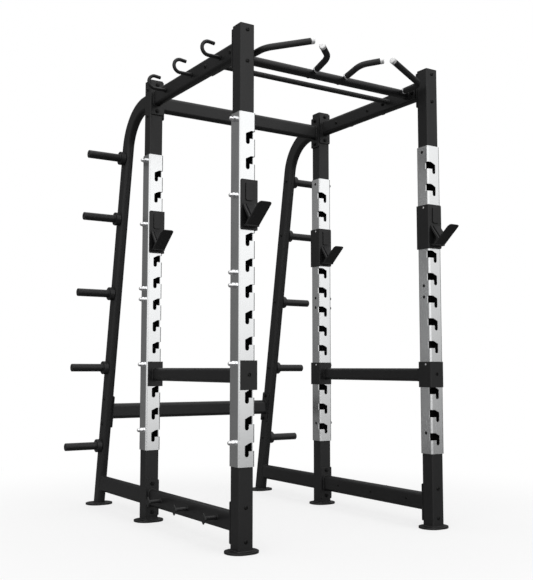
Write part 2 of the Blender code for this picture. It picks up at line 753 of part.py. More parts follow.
def upward_normal(v):
    n = Vector((v.y, -v.x))
    return n if n.y > 0 else -n


def liner(name, side, y):
    """Strip bent to the inside of the V."""
    f = cup_plate_y(y)
    arm_top, arm_foot, lip_foot, lip_top = (Vector((f - d, z)) for d, z in
                                            (ARM_TOP, ARM_FOOT, LIP_FOOT, LIP_TOP))
    arm = (arm_foot - arm_top).normalized()
    lip = (lip_top - lip_foot).normalized()
    arm_n, lip_n = upward_normal(arm), upward_normal(lip)
    first = arm_top + arm * LINER_ARM_END
    last = lip_top - lip * LINER_LIP_END
    lift_up = Vector((0, LINER_LIFT))
    low = [first + arm_n * GAP, arm_foot + arm_n * GAP + lift_up,
           lip_foot + lip_n * GAP + lift_up, last + lip_n * GAP]
    # inner corner: where the two offset surfaces meet
    p, q = first + arm_n * LINER_T, last + lip_n * LINER_T
    k = ((q.x - p.x) * lip.y - (q.y - p.y) * lip.x) / (arm.x * lip.y - arm.y * lip.x)
    corner = p + arm * k
    high = [q, corner - arm * 0.002 + Vector((0, 0.0004)), p]
    middle = side * (COL_X + (CRADLE_OUT - CRADLE_IN) / 2)
    outline = [(v.x, v.y) for v in low + high]
    return clean(prism(outline, "X", middle - LINER_HX, middle + LINER_HX, name))


def j_cup(label, side, y):
    f = cup_plate_y(y)
    ob = prism(catch_profile(side, y, CUP_OUT), "Z", CUP_BOTTOM, CUP_TOP, label + "_j_cup")
    cut(ob, plate_corner(side, y, CUP_TOP, 1), plate_corner(side, y, CUP_BOTTOM, -1))
    pad = prism(rounded(PAD_HX, PAD_HZ, PAD_R, 3), "Y", f - PAD_T, f + 0.003,
                at=(side * (COL_X - PAD_DX), PAD_Z))
    join(ob, cradle(side, y), pad, *[pin(side, y, k) for k in CUP_SLOTS])
    cut(ob, side_hole(side, y, CUP_TOP))
    clean(ob)
    liner(label + "_j_cup_liner", side, y)


RECESS_R, RECESS_DEPTH = 0.0095, 0.004      # round recess in the middle of a safety's front plate
TAB_FRONT = 0.038               # the tab starts this far behind the upright centre
DRAIN_DY = 0.09                 # drain holes, from the upright centres


def plate_recess(side, y):
    middle = (SLEEVE + GAP + CATCH_T - CATCH_OUT) / 2
    f = cup_plate_y(y)
    at = (side * (COL_X - middle), pin_z(CATCH_SLOT))
    return cyl(RECESS_R, 12, "Y", f - 0.01, f + RECESS_DEPTH, at)


def safety(name, side):
    """Two hooked plates joined by a flat-oval rail with closed ends."""
    x = side * COL_X
    n = SLEEVE + GAP
    inner = x - side * (n + CATCH_T)
    ob = prism(catch_profile(side, FRONT_Y, CATCH_OUT), "Z", CATCH_BOTTOM, CATCH_TOP, name)
    rear = prism(catch_profile(side, REAR_Y, CATCH_OUT), "Z", CATCH_BOTTOM, CATCH_TOP)
    back = FRONT_Y + n + CATCH_T
    tab_x = sorted((x - side * n, inner))
    web_x = sorted((x + side * RAIL_HX, inner))
    tabs = [box(*tab_x, FRONT_Y + TAB_FRONT, back, RAIL_BOTTOM, RAIL_TOP),
            box(*web_x, back - CATCH_T, back, RAIL_BOTTOM, RAIL_TOP)]
    zc = (RAIL_BOTTOM + RAIL_TOP) / 2
    hz = (RAIL_TOP - RAIL_BOTTOM) / 2
    xr = x - side * RAIL_DX
    rail = pipe(rounded(RAIL_HX, hz, RAIL_HX, 3), rounded(RAIL_HX - WALL, hz - WALL, RAIL_HX - WALL, 3),
                "Y", back - OVERLAP, REAR_Y - n - CATCH_T + OVERLAP, "tool", at=(xr, zc))
    drain_ys = (FRONT_Y + DRAIN_DY, REAR_Y - DRAIN_DY)
    drains = [cyl(DRAIN_R, 6, "Z", RAIL_BOTTOM - 0.02, zc, (xr, at)) for at in drain_ys]
    cut(rail, merged(drains))
    pins = [pin(side, y, CATCH_SLOT) for y in (FRONT_Y, REAR_Y)]
    join(ob, *tabs, rail, rear, *pins)
    cut(ob, plate_recess(side, FRONT_Y), plate_recess(side, REAR_Y))
    cut(ob, side_hole(side, FRONT_Y, CATCH_TOP), side_hole(side, REAR_Y, CATCH_TOP))
    return clean(ob)


for label, side, y in CORNERS:
    j_cup(label, side, y)
for label, side in SIDES:
    safety(label + "_safety_rail", side)


# ---------------------------------------------------------------- origins, shading and materials
def material(name, colour, roughness, metallic):
    mat = bpy.data.materials.new(name)
    mat.use_nodes = True
    bsdf = mat.node_tree.nodes["Principled BSDF"]
    bsdf.inputs["Base Color"].default_value = (*colour, 1.0)
    bsdf.inputs["Roughness"].default_value = roughness
    bsdf.inputs["Metallic"].default_value = metallic
    mat.diffuse_color = (*colour, 1.0)
    return mat


BLACK = material("powder_coat_black", (0.018, 0.018, 0.019), 0.50, 0.0)
SILVER = material("plated_sleeve", (0.72, 0.73, 0.74), 0.32, 0.9)
CHROME = material("chrome_handle", (0.80, 0.80, 0.80), 0.12, 1.0)
RUBBER = material("rubber_grip", (0.015, 0.015, 0.015), 0.70, 0.0)
LINER = material("liner_plastic", (0.025, 0.025, 0.026), 0.60, 0.0)

MATERIALS = (("_sleeve", SILVER), ("_handle", CHROME), ("_grip", RUBBER), ("_liner", LINER))


def origin_of(ob):
    """Where a catch's upper pin meets the sleeve; the middle of its box for everything else."""
    name = ob.name
    side = -1 if "left" in name else 1
    if "_j_cup" in name:
        y = FRONT_Y if name.startswith("front") else REAR_Y
        return Vector((side * COL_X, y - SLEEVE, pin_z(CUP_SLOTS[0])))
    if name.endswith("_safety_rail"):
        return Vector((side * COL_X, FRONT_Y - SLEEVE, pin_z(CATCH_SLOT)))
    return sum((Vector(c) for c in ob.bound_box), Vector()) / 8


for ob in bpy.data.objects:
    ob.data.materials.clear()
    ob.data.materials.append(next((m for end, m in MATERIALS if ob.name.endswith(end)), BLACK))
    origin = origin_of(ob)
    ob.data.transform(Matrix.Translation(-origin))
    ob.location = origin
    ob.data.shade_smooth()
    ob.data.set_sharp_from_angle(angle=math.radians(35))
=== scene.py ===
"""Power cage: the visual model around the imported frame. Metres, +Z up, open front on -Y."""
import math

import bmesh
import bpy
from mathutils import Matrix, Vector


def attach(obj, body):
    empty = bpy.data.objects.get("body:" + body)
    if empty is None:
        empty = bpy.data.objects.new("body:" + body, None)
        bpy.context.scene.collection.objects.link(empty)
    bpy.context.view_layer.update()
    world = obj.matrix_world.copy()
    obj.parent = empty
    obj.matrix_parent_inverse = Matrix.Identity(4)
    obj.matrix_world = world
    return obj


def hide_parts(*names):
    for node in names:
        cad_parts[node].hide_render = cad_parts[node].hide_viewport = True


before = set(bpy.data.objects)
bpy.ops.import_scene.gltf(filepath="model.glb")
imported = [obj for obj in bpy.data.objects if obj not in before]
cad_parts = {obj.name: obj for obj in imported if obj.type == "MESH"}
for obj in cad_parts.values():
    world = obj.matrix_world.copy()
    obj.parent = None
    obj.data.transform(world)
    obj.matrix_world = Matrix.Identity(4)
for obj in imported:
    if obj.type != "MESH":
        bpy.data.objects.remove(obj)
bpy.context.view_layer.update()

# ---------------------------------------------------------------- dimensions, as in the CAD model
# Widths and heights of sections and plates are half sizes. R is a radius, T a thickness.
GAP = 0.0003                    # between neighbouring solids
SEAM = 0.00003                  # between the two butting halves of a sleeve
BITE = 0.002                    # how far welded parts run into each other
STAND = 0.0004                  # how far a weld bead stands off the faces it joins
HEIGHT = 2.400
COL_X = 0.5735
MID_Y = -0.2856
FRONT_Y, REAR_Y = MID_Y - 0.48125, MID_Y + 0.48125
TUBE, TUBE_R, WALL = 0.0375, 0.006, 0.003
SLEEVE, SLEEVE_R = 0.0425, 0.009
SLEEVE_BOTTOM, SLEEVE_JOINT, SLEEVE_TOP = 0.3760, 1.2120, 1.9800
SLOT_FIRST, SLOT_PITCH, SLOTS, SLOTS_LOWER = 0.4503, 0.1176, 13, 7
SEAT_R, SEAT_BOTTOM = 0.0105, -0.0308
PIN_R = 0.0093
FOOT_T, FOOT_L, FOOT_W, FOOT_HOLE = 0.010, 0.080, 0.065, 0.060
FLOOR_BOLT_R = 0.0065
PLATE_T, PLATE_H, PLATE_R, BOLT_DZ = 0.008, 0.0935, 0.006, 0.0740
PLATE_EDGE = 0.0008
BRACE_PLATE_W = 0.034
BAR_PLATE_L, BAR_PLATE_H = 0.145, 0.035
BEAM_HX, BEAM_HZ, BEAM_R = 0.0225, 0.045, 0.020
TOP_Z, REAR_TOP_Z, LOW_Z = 2.298, 2.276, 0.127
POST_HX, POST_HD, POST_R = 0.0228, 0.0455, 0.020
LEAN = -0.1694
POST_Y0 = MID_Y + 1.1784
BEND_R, BEND_Y, BEND_Z = 0.2436, MID_Y + 0.5831, 2.0554
MID_Z = 0.5553
BAR_PLATE_Y, BAR_DY, BAR_BOLT = MID_Y - 0.2745, 0.0742, 0.1215
THICK_R, THIN_R = 0.02275, 0.0136
PEG_Z = (2.0346, 1.6839, 1.2486, 0.8137, 0.3509)
PEG_R, PEG_END, COLLAR_R, COLLAR_T = 0.0225, 0.8140, 0.0385, 0.028
HOOK_DY, HOOK_R, HOOK_BEND, HOOK_Z = (-0.3000, -0.0050, 0.2920), 0.0090, 0.0335, 2.2990
HOOK_SHANK, HOOK_X, HOOK_TIP_X = 0.030, 0.660, 0.626
STUD_R, STUD_HEAD, STUD_Z, STUD_L, STUD_HEAD_T = 0.0100, 0.0187425, 0.1293, 0.074, 0.006
CUP_BOTTOM, CUP_TOP = 1.4350, 1.6655
CATCH_BOTTOM, CATCH_TOP = 0.7150, 0.8467
RAIL_BOTTOM, RAIL_TOP, RAIL_HX = 0.7445, 0.8128, 0.0155
CATCH_T = 0.008
CUP_OUT, CATCH_OUT = 0.040, 0.036       # front plates, outer edge
CATCH_BACK, CATCH_R = 0.040, 0.005
CATCH_EDGE = 0.0012
CUP_CORNER_R = 0.008
CUP_SLOTS, SAFETY_SLOT = (10, 9), 3     # the slots that the pins rest in
PIN_OUT, PIN_IN = 0.004, 0.016
HOLE_R, HOLE_BACK, HOLE_DOWN = 0.0055, 0.0130, 0.0140
RECESS_R, RECESS_T = 0.0095, 0.0060
CRADLE_OUT, CRADLE_IN = 0.030, 0.037
LIP_TOP, LIP_R = 1.5437, 0.016
PAD_HX, PAD_HZ, PAD_R, PAD_Z, PAD_DX, PAD_OUT = 0.0195, 0.0425, 0.008, 1.6095, 0.0035, 0.0058
LINER_HX, LINER_T, LINER_EASE = 0.0210, 0.0055, 0.006
TAB_BACK = 0.036
RAIL_DX = 0.004
GRIP_R, CORE_R = 0.0157, 0.0120
GRIP_LIP = ((0.0, 0.0138), (0.0008, 0.0150), (0.0022, GRIP_R), (0.0060, GRIP_R))
COLLAR_LEN, CAP_LEN = 0.008, 0.019      # bright collar and cap of a handle
BOSS_R, BOSS_L, BOSS_IN = 0.0115, 0.022, 0.0090
INNER_BEND, OUTER_BEND = 0.080, 0.048
INNER = ((0.0939, -0.3745, 2.2985), (0.1010, -0.5060, 2.3360), (0.1925, -0.5790, 2.3540))
OUTER = ((0.4880, -0.3745, 2.2985), (0.4830, -0.5230, 2.3000), (0.2420, -0.5835, 2.3655))
NUT_Z = (1.9500, 1.5944, 1.2412, 1.1827, 0.8311, 0.4812)
INNER_BOLT_Z = (1.9500, 1.2412, 1.1827, 0.4812)     # a catch's side plate covers the others
CORNERS = (("front_left", -1, FRONT_Y), ("front_right", 1, FRONT_Y),
           ("rear_left", -1, REAR_Y), ("rear_right", 1, REAR_Y))
SIDES = (("left", -1), ("right", 1))


def slot_z(k):
    return SLOT_FIRST + SLOT_PITCH * k


def pin_z(k):
    return slot_z(k) + SEAT_BOTTOM + PIN_R + GAP


def post_y(z):
    return POST_Y0 + LEAN * z


# ---------------------------------------------------------------- materials
def nodes_of(name):
    mat = bpy.data.materials.new(name)
    mat.use_nodes = True
    nt = mat.node_tree
    return mat, nt, nt.nodes["Principled BSDF"]


def node(nt, kind, **values):
    n = nt.nodes.new(kind)
    for key, val in values.items():
        if key in n.inputs:
            n.inputs[key].default_value = val
        else:
            setattr(n, key, val)
    return n


def maths(nt, operation, *parts):
    """Maths node; each part is a number or the output of another node."""
    n = node(nt, "ShaderNodeMath", operation=operation)
    for i, part in enumerate(parts):
        if isinstance(part, float):
            n.inputs[i].default_value = part
        else:
            nt.links.new(part, n.inputs[i])
    return n.outputs[0]


def map_range(nt, value, lo, hi, to_lo=0.0, to_hi=1.0, kind="LINEAR"):
    n = node(nt, "ShaderNodeMapRange", interpolation_type=kind)
    for key, number in (("From Min", lo), ("From Max", hi), ("To Min", to_lo), ("To Max", to_hi)):
        n.inputs[key].default_value = number
    nt.links.new(value, n.inputs["Value"])
    return n.outputs["Result"]


def coated(name, dark, light, rough, grain, grain_scale, patch=7.0, stretch=(1, 1, 1),
           metallic=0.0, spec=0.5, bump=0.0002):
    """Surface with fine grain in bump, broad patches in colour, and a roughness that varies."""
    mat, nt, bsdf = nodes_of(name)
    link = nt.links.new
    coord = node(nt, "ShaderNodeTexCoord")
    mapping = node(nt, "ShaderNodeMapping")
    mapping.inputs["Scale"].default_value = stretch
    link(coord.outputs["Object"], mapping.inputs["Vector"])
    fine = node(nt, "ShaderNodeTexNoise", Scale=grain_scale, Detail=3.0, Roughness=0.6)
    link(mapping.outputs["Vector"], fine.inputs["Vector"])
    broad = node(nt, "ShaderNodeTexNoise", Scale=patch, Detail=4.0, Roughness=0.55)
    link(coord.outputs["Object"], broad.inputs["Vector"])
    colour = node(nt, "ShaderNodeMix", data_type="RGBA")
    colour.inputs[6].default_value = (*dark, 1.0)
    colour.inputs[7].default_value = (*light, 1.0)
    link(broad.outputs["Fac"], colour.inputs[0])
    link(colour.outputs[2], bsdf.inputs["Base Color"])
    both = maths(nt, "ADD", broad.outputs["Fac"], fine.outputs["Fac"])
    link(map_range(nt, both, 0.6, 1.4, *rough), bsdf.inputs["Roughness"])
    bmp = node(nt, "ShaderNodeBump", Strength=grain, Distance=bump)
    link(fine.outputs["Fac"], bmp.inputs["Height"])
    link(bmp.outputs["Normal"], bsdf.inputs["Normal"])
    bsdf.inputs["Metallic"].default_value = metallic
    bsdf.inputs["Specular IOR Level"].default_value = spec
    return mat


KNURL_TEETH, KNURL_PITCH = 48.0, 3500.0     # teeth round the bar, and phase per metre along it


def knurled(name):
    """Diamond knurl round a bar that runs along X, at the thin bar's own axis."""
    mat, nt, bsdf = nodes_of(name)
    link = nt.links.new
    coord = node(nt, "ShaderNodeTexCoord")
    sep = node(nt, "ShaderNodeSeparateXYZ")
    link(coord.outputs["Object"], sep.inputs[0])
    dy = maths(nt, "SUBTRACT", sep.outputs["Y"], BAR_PLATE_Y + BAR_DY)
    dz = maths(nt, "SUBTRACT", sep.outputs["Z"], TOP_Z)
    round_bar = maths(nt, "MULTIPLY", maths(nt, "ARCTAN2", dy, dz), KNURL_TEETH)
    waves = []
    for sign in (1, -1):
        run = maths(nt, "MULTIPLY_ADD", sep.outputs["X"], sign * KNURL_PITCH, round_bar)
        waves.append(maths(nt, "SINE", run))
    both = maths(nt, "MINIMUM", *waves)
    bmp = node(nt, "ShaderNodeBump", Strength=0.6, Distance=0.0004)
    link(both, bmp.inputs["Height"])
    link(bmp.outputs["Normal"], bsdf.inputs["Normal"])
    # Base colour follows the knurl's height: painted shade, darker in the grooves than on the teeth.
    link(map_range(nt, both, -1.0, 1.0, 0.010, 0.022), bsdf.inputs["Base Color"])
    bsdf.inputs["Roughness"].default_value = 0.5
    return mat


BLACK = coated("powder_coat_black", (0.0080, 0.0080, 0.0083), (0.0110, 0.0110, 0.0114), (0.36, 0.50),
               0.22, 1500.0, spec=0.44)
WELD = coated("weld_bead_black", (0.010, 0.010, 0.010), (0.018, 0.018, 0.018), (0.42, 0.60), 0.6, 700.0)
SILVER = coated("plated_sleeve", (0.84, 0.85, 0.855), (0.88, 0.89, 0.895), (0.21, 0.28), 0.02, 900.0,
                patch=5.0, stretch=(1, 1, 0.02), metallic=1.0)
CHROME = coated("chrome", (0.82, 0.82, 0.83), (0.88, 0.88, 0.89), (0.06, 0.14), 0.03, 600.0, metallic=1.0)
RUBBER = coated("rubber_grip", (0.010, 0.010, 0.010), (0.017, 0.017, 0.017), (0.50, 0.68), 0.55, 900.0,
                bump=0.0004)
LINER = coated("cup_liner", (0.007, 0.007, 0.0075), (0.011, 0.011, 0.0115), (0.44, 0.58), 0.3, 1100.0,
               spec=0.25)
CAP = coated("bright_cap", (0.93, 0.93, 0.93), (0.96, 0.96, 0.96), (0.26, 0.34), 0.03, 600.0, metallic=0.3)
BOLT = coated("black_oxide_bolt", (0.005, 0.005, 0.005), (0.010, 0.010, 0.010), (0.30, 0.46), 0.15, 1200.0,
              metallic=0.6)
KNURL = knurled("knurled_black")


# ---------------------------------------------------------------- mesh helpers
def rounded(hx, hy, r, n=6):
    """Rectangle of half sizes hx and hy with round corners, n steps each."""
    pts = []
    for cx, cy, a0 in ((hx - r, hy - r, 0.0), (-hx + r, hy - r, 90.0),
                       (-hx + r, -hy + r, 180.0), (hx - r, -hy + r, 270.0)):
        for i in range(n + 1):
            a = math.radians(a0 + 90.0 * i / n)
            pts.append((cx + r * math.cos(a), cy + r * math.sin(a)))
    out = []
    for p in pts:
        if not out or math.hypot(p[0] - out[-1][0], p[1] - out[-1][1]) > 1e-5:
            out.append(p)
    if math.hypot(out[0][0] - out[-1][0], out[0][1] - out[-1][1]) < 1e-5:
        out.pop()
    return out


def circle(r, n):
    return [(r * math.cos(2 * math.pi * (i + 0.5) / n), r * math.sin(2 * math.pi * (i + 0.5) / n))
            for i in range(n)]


def lift(pt, axis, a):
    """A point of a flat outline, at height a along the axis."""
    if axis == "Z":
        return Vector((pt[0], pt[1], a))
    if axis == "Y":
        return Vector((pt[0], a, pt[1]))
    return Vector((a, pt[0], pt[1]))


def loft(rings, close=False, bm=None):
    """Closed solid from rings of equal size; capped unless it closes on itself. Adds to bm if given."""
    bm = bm or bmesh.new()
    vs = [[bm.verts.new(p) for p in ring] for ring in rings]
    n = len(vs[0])
    pairs = list(zip(vs, vs[1:]))
    if close:
        pairs.append((vs[-1], vs[0]))
    for a, b in pairs:
        for i in range(n):
            j = (i + 1) % n
            bm.faces.new((a[i], a[j], b[j], b[i]))
    if not close:
        bm.faces.new(list(reversed(vs[0])))
        bm.faces.new(vs[-1])
    return bm


def solid(bm, name="tool"):
    bmesh.ops.recalc_face_normals(bm, faces=bm.faces[:])
    mesh = bpy.data.meshes.new(name)
    bm.to_mesh(mesh)
    bm.free()
    ob = bpy.data.objects.new(name, mesh)
    bpy.context.collection.objects.link(ob)
    return ob


def prism(pts, axis, a0, a1, name="tool", at=(0, 0), edge=0.0, segments=2):
    """Straight solid of an outline. edge rounds its sharp edges."""
    pts = [(p[0] + at[0], p[1] + at[1]) for p in pts]
    ob = solid(loft([[lift(p, axis, a) for p in pts] for a in (a0, a1)]), name)
    return soften(ob, edge, segments) if edge else ob


def soften(ob, width, segments=2, angle=50.0):
    """Rounds every edge sharper than the angle."""
    bm = bmesh.new()
    bm.from_mesh(ob.data)
    edges = [e for e in bm.edges
             if len(e.link_faces) == 2 and e.calc_face_angle(0.0) > math.radians(angle)]
    bmesh.ops.bevel(bm, geom=edges, offset=width, segments=segments, profile=0.5, affect="EDGES",
                    clamp_overlap=True)
    bm.to_mesh(ob.data)
    bm.free()
    return ob


def pipe(outer, inner, axis, a0, a1, name, at=(0, 0), edge=0.0):
    """Open-ended tube with a wall; edge breaks its outer rims."""
    o = [(p[0] + at[0], p[1] + at[1]) for p in outer]
    i = [(p[0] + at[0], p[1] + at[1]) for p in inner]
    rows = [(o, a0), (o, a1), (i, a1), (i, a0)]
    ob = solid(loft([[lift(p, axis, a) for p in loop] for loop, a in rows], close=True), name)
    return soften(ob, edge) if edge else ob


def box(x0, x1, y0, y1, z0, z1):
    return prism([(x0, y0), (x1, y0), (x1, y1), (x0, y1)], "Z", z0, z1)


def cyl(r, n, axis, a0, a1, at):
    return prism(circle(r, n), axis, a0, a1, "tool", at)


def obround(half_l, half_w, n=14):
    """Outline with straight sides and two round ends."""
    pts = []
    for side, a0 in ((1, -90.0), (-1, 90.0)):
        for i in range(n + 1):
            a = math.radians(a0 + 180.0 * i / n)
            pts.append((side * (half_l - half_w) + half_w * math.cos(a), half_w * math.sin(a)))
    return pts


def boolean(ob, others, operation):
    for other in others:
        mod = ob.modifiers.new("cut", "BOOLEAN")
        mod.operation = operation
        mod.solver = "EXACT"
        mod.object = other
        graph = bpy.context.evaluated_depsgraph_get()
        graph.update()
        mesh = bpy.data.meshes.new_from_object(ob.evaluated_get(graph))
        ob.modifiers.clear()
        ob.data = mesh
        bpy.data.objects.remove(other, do_unlink=True)
    return ob


def join(ob, *others):
    return boolean(ob, others, "UNION")


def cut(ob, *others):
    return boolean(ob, others, "DIFFERENCE")


def merged(tools, name="tools"):
    """One object that holds several separate ones."""
    bm = bmesh.new()
    for t in tools:
        bm.from_mesh(t.data)
        bpy.data.objects.remove(t, do_unlink=True)
    mesh = bpy.data.meshes.new(name)
    bm.to_mesh(mesh)
    bm.free()
    ob = bpy.data.objects.new(name, mesh)
    bpy.context.collection.objects.link(ob)
    return ob


def piece(ob, name, body, slot, mat, *replaced, angle=32.0, weighted=True):
    """Names and shades a finished piece, hangs it on its body's empty, and hides the CAD parts it replaces.
    """
    ob.name = name
    ob.data.name = name
    ob.data.materials.clear()
    ob.data.materials.append(mat)
    bm = bmesh.new()
    bm.from_mesh(ob.data)
    bmesh.ops.remove_doubles(bm, verts=bm.verts[:], dist=2e-6)
    bmesh.ops.dissolve_degenerate(bm, dist=1e-6, edges=bm.edges[:])
    bmesh.ops.recalc_face_normals(bm, faces=bm.faces[:])
    bm.to_mesh(ob.data)
    bm.free()
    ob.data.shade_smooth()
    ob.data.set_sharp_from_angle(angle=math.radians(angle))
    if weighted:
        mod = ob.modifiers.new("weighted_normals", "WEIGHTED_NORMAL")
        mod.mode = "FACE_AREA"
        mod.weight = 60
        mod.keep_sharp = True
    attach(ob, body)
    if replaced:
        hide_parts(*replaced)
    return ob


def sweep(path, radius, n, up=Vector((0, 0, 1)), close=False, bm=None):
    """Round section along a path, with one radius or one per station. Gives the rings, or adds to bm."""
    m = len(path)
    tang = []
    for i in range(m):
        a = path[(i - 1) % m] if close or i else path[i]
        b = path[(i + 1) % m] if close or i < m - 1 else path[i]
        tang.append((b - a).normalized())
    side = tang[0].cross(up)
    if side.length < 1e-3:
        side = tang[0].cross(Vector((0, 1, 0)))
    side.normalize()
    rings, prev = [], tang[0]
    for i, (p, t) in enumerate(zip(path, tang)):
        side = prev.rotation_difference(t) @ side
        side = (side - t * side.dot(t)).normalized()
        other = t.cross(side).normalized()
        prev = t
        r = radius[i] if isinstance(radius, (list, tuple)) else radius
        ring = []
        for k in range(n):
            a = 2 * math.pi * k / n
            ring.append(p + side * (r * math.cos(a)) + other * (r * math.sin(a)))
        rings.append(ring)
    return rings if bm is None else loft(rings, close=close, bm=bm)


def fillet_path(points, radius, n):
    """The path with each corner replaced by an arc of n steps."""
    out = [points[0]]
    for a, b, c in zip(points, points[1:], points[2:]):
        u = (a - b).normalized()
        v = (c - b).normalized()
        ang = u.angle(v)
        d = radius / math.tan(ang / 2)
        centre = b + (u + v).normalized() * (radius / math.sin(ang / 2))
        w0, w1 = b + u * d - centre, b + v * d - centre
        total = w0.angle(w1)
        for i in range(n + 1):
            s = i / n
            arm = (w0 * math.sin((1 - s) * total) + w1 * math.sin(s * total)) / math.sin(total)
            out.append(centre + arm)
    out.append(points[-1])
    return out


def turned(rows, centre, axis, n=24, bm=None):
    """Solid of rows of (height, radius) along the axis; a radius given as ("hex", r) makes a hexagon."""
    axis = Vector(axis).normalized()
    up = Vector((0, 0, 1)) if abs(axis.z) < 0.9 else Vector((1, 0, 0))
    u = axis.cross(up).normalized()
    v = axis.cross(u).normalized()
    rings = []
    for h, r in rows:
        ring = []
        for k in range(n):
            t = 2 * math.pi * k / n
            reach = r
            if isinstance(r, tuple):
                reach = r[1] / math.cos((t % (math.pi / 3)) - math.pi / 6)
            ring.append(Vector(centre) + axis * h + u * (reach * math.cos(t)) + v * (reach * math.sin(t)))
        rings.append(ring)
    return loft(rings, bm=bm)


# rows of (height, radius) of each kind of fastener
BUTTON = ((0.0002, 0.0100), (0.0012, 0.0102), (0.0026, 0.0094), (0.0037, 0.0078), (0.0042, 0.0056),
          (0.0042, ("hex", 0.0036)), (0.0018, ("hex", 0.0034)))
SMALL = tuple((h * 0.8, ("hex", r[1] * 0.72) if isinstance(r, tuple) else r * 0.72) for h, r in BUTTON)
NUT = ((0.0002, 0.0115), (0.0016, 0.0118), (0.0018, 0.0112), (0.0018, ("hex", 0.0085)),
       (0.0080, ("hex", 0.0085)), (0.0088, ("hex", 0.0079)), (0.0088, 0.0050), (0.0105, 0.0050),
       (0.0112, 0.0043))
# washer, hexagon and long domed cap
DOME = ((0.0002, 0.0132), (0.0024, 0.0135), (0.0030, 0.0128), (0.0030, ("hex", 0.0112)),
        (0.0038, ("hex", 0.0118)), (0.0140, ("hex", 0.0118)), (0.0150, ("hex", 0.0110)),
        (0.0154, 0.0104), (0.0224, 0.0102), (0.0256, 0.0093), (0.0282, 0.0076), (0.0300, 0.0054),
        (0.0309, 0.0028), (0.0312, 0.0008))
FLUSH = ((0.0001, 0.0085), (0.0006, 0.0083), (0.0008, 0.0078), (0.0008, ("hex", 0.0036)),
         (0.0004, ("hex", 0.0035)))
PLUG = ((0.0, 0.0054), (0.0040, 0.0054), (0.0048, 0.0047), (0.0050, 0.0030))
PIN_HEAD = ((0.0, 0.0048), (0.0044, 0.0048), (0.0052, 0.0040), (0.0052, 0.0020))


def fasteners(name, rows, places, body, slot, mat):
    """One piece holding several like fasteners; places are (centre, axis)."""
    bm = bmesh.new()
    for centre, axis in places:
        turned(rows, centre, axis, bm=bm)
    return piece(solid(bm, name), name, body, slot, mat, weighted=False)


def steel(ob, name, *replaced):
    """A black piece of the frame."""
    return piece(ob, name, "frame", "frame_black", BLACK, *replaced)


def bolts(name, rows, places):
    return fasteners(name, rows, places, "frame", "frame_black", BOLT)


BEAD_STEP, RIPPLE, RIPPLE_TURN = 0.0022, 0.16, 2.1
BEAD_R, FOOT_BEAD_R, BAR_BEAD_R, SAFETY_BEAD_R = 0.0024, 0.0030, 0.0022, 0.0020


def bead(path, name, r=BEAD_R):
    """Weld bead round a joint: a closed run with ripples."""
    pts = []
    m = len(path)
    for i in range(m):
        a, b = path[i], path[(i + 1) % m]
        steps = max(1, int((b - a).length / BEAD_STEP))
        pts += [a.lerp(b, s / steps) for s in range(steps)]
    radii = [r * (1.0 + RIPPLE * math.sin(i * RIPPLE_TURN)) for i in range(len(pts))]
    bm = bmesh.new()
    sweep(pts, radii, 7, close=True, bm=bm)
    return solid(bm, name)


# ---------------------------------------------------------------- uprights and sleeves
MOUTH_LOW, MOUTH_TOP = -0.0050, 0.0324      # the slot's mouth, from the middle of the slot
SHOULDER_X, SHOULDER_Z = 0.0175, 0.0187     # where its sloping shoulder starts and ends
SLOT_DEPTH, SLOT_REACH = 0.018, 0.060


def slot_tool(side, y, k, grow=0.0):
    """Keyhole slot: a round seat, a shoulder, and a mouth that opens toward the inside of the cage."""
    z = slot_z(k)
    r = SEAT_R + grow
    low, top = MOUTH_LOW - grow, MOUTH_TOP + grow
    outline = [(-r, SHOULDER_Z + grow)]
    for i in range(13):
        a = math.pi + math.pi * i / 12
        outline.append((r * math.cos(a), SEAT_BOTTOM + SEAT_R + r * math.sin(a)))
    outline += [(r, low), (SLOT_REACH, low), (SLOT_REACH, top), (SHOULDER_X, top)]
    pts = [(side * (COL_X - u), z + w) for u, w in outline]
    return prism(pts, "Y", y - SLEEVE - 0.01, y - SLEEVE + SLOT_DEPTH + grow)


def foot(x, y):
    plate = prism(obround(FOOT_L, FOOT_W), "Z", 0.0, FOOT_T, at=(x, y), edge=0.0016, segments=3)
    holes = [cyl(FLOOR_BOLT_R, 24, "Z", -0.01, 0.03, (x + s * FOOT_HOLE, y)) for s in (-1, 1)]
    return cut(plate, merged(holes))


TOP_T, TOP_EASE = 0.004, 0.0010         # the upright's closed top and its eased rim
WINDOW_GROW = 0.0006                    # the window in the upright is this much larger than the slot


def upright(label, side, y):
    """Tube with a closed top and a foot plate. Gives the weld at its foot."""
    x = side * COL_X

    def loop(shrink):
        return [(p[0] + x, p[1] + y) for p in rounded(TUBE - shrink, TUBE - shrink, TUBE_R - shrink, 6)]

    outside, inside, rim = loop(0.0), loop(WALL), loop(TOP_EASE)
    low = FOOT_T - BITE
    bm = bmesh.new()
    rows = [(inside, HEIGHT - TOP_T), (inside, low), (outside, low), (outside, HEIGHT - TOP_EASE),
            (rim, HEIGHT)]
    loft([[(p[0], p[1], z) for p in ring] for ring, z in rows], bm=bm)
    ob = solid(bm, label)
    join(ob, foot(x, y))
    cut(ob, merged([slot_tool(side, y, k, WINDOW_GROW) for k in range(SLOTS)]))
    steel(ob, label + "_upright_tube", label + "_upright")
    round_foot = rounded(TUBE + STAND, TUBE + STAND, TUBE_R, 4)
    ring = [Vector((p[0] + x, p[1] + y, FOOT_T + STAND)) for p in round_foot]
    return bead(ring, label + "_foot_weld", FOOT_BEAD_R)


def sleeve(label, half, side, y, z0, z1, slots):
    ob = pipe(rounded(SLEEVE, SLEEVE, SLEEVE_R, 8), rounded(TUBE + GAP, TUBE + GAP, TUBE_R + GAP, 8),
              "Z", z0, z1, "sleeve", at=(side * COL_X, y))
    cut(ob, merged([slot_tool(side, y, k) for k in slots]))
    piece(ob, "%s_%s_slotted_sleeve" % (label, half), "frame", "sleeve_silver", SILVER,
          "%s_%s_sleeve" % (label, half))


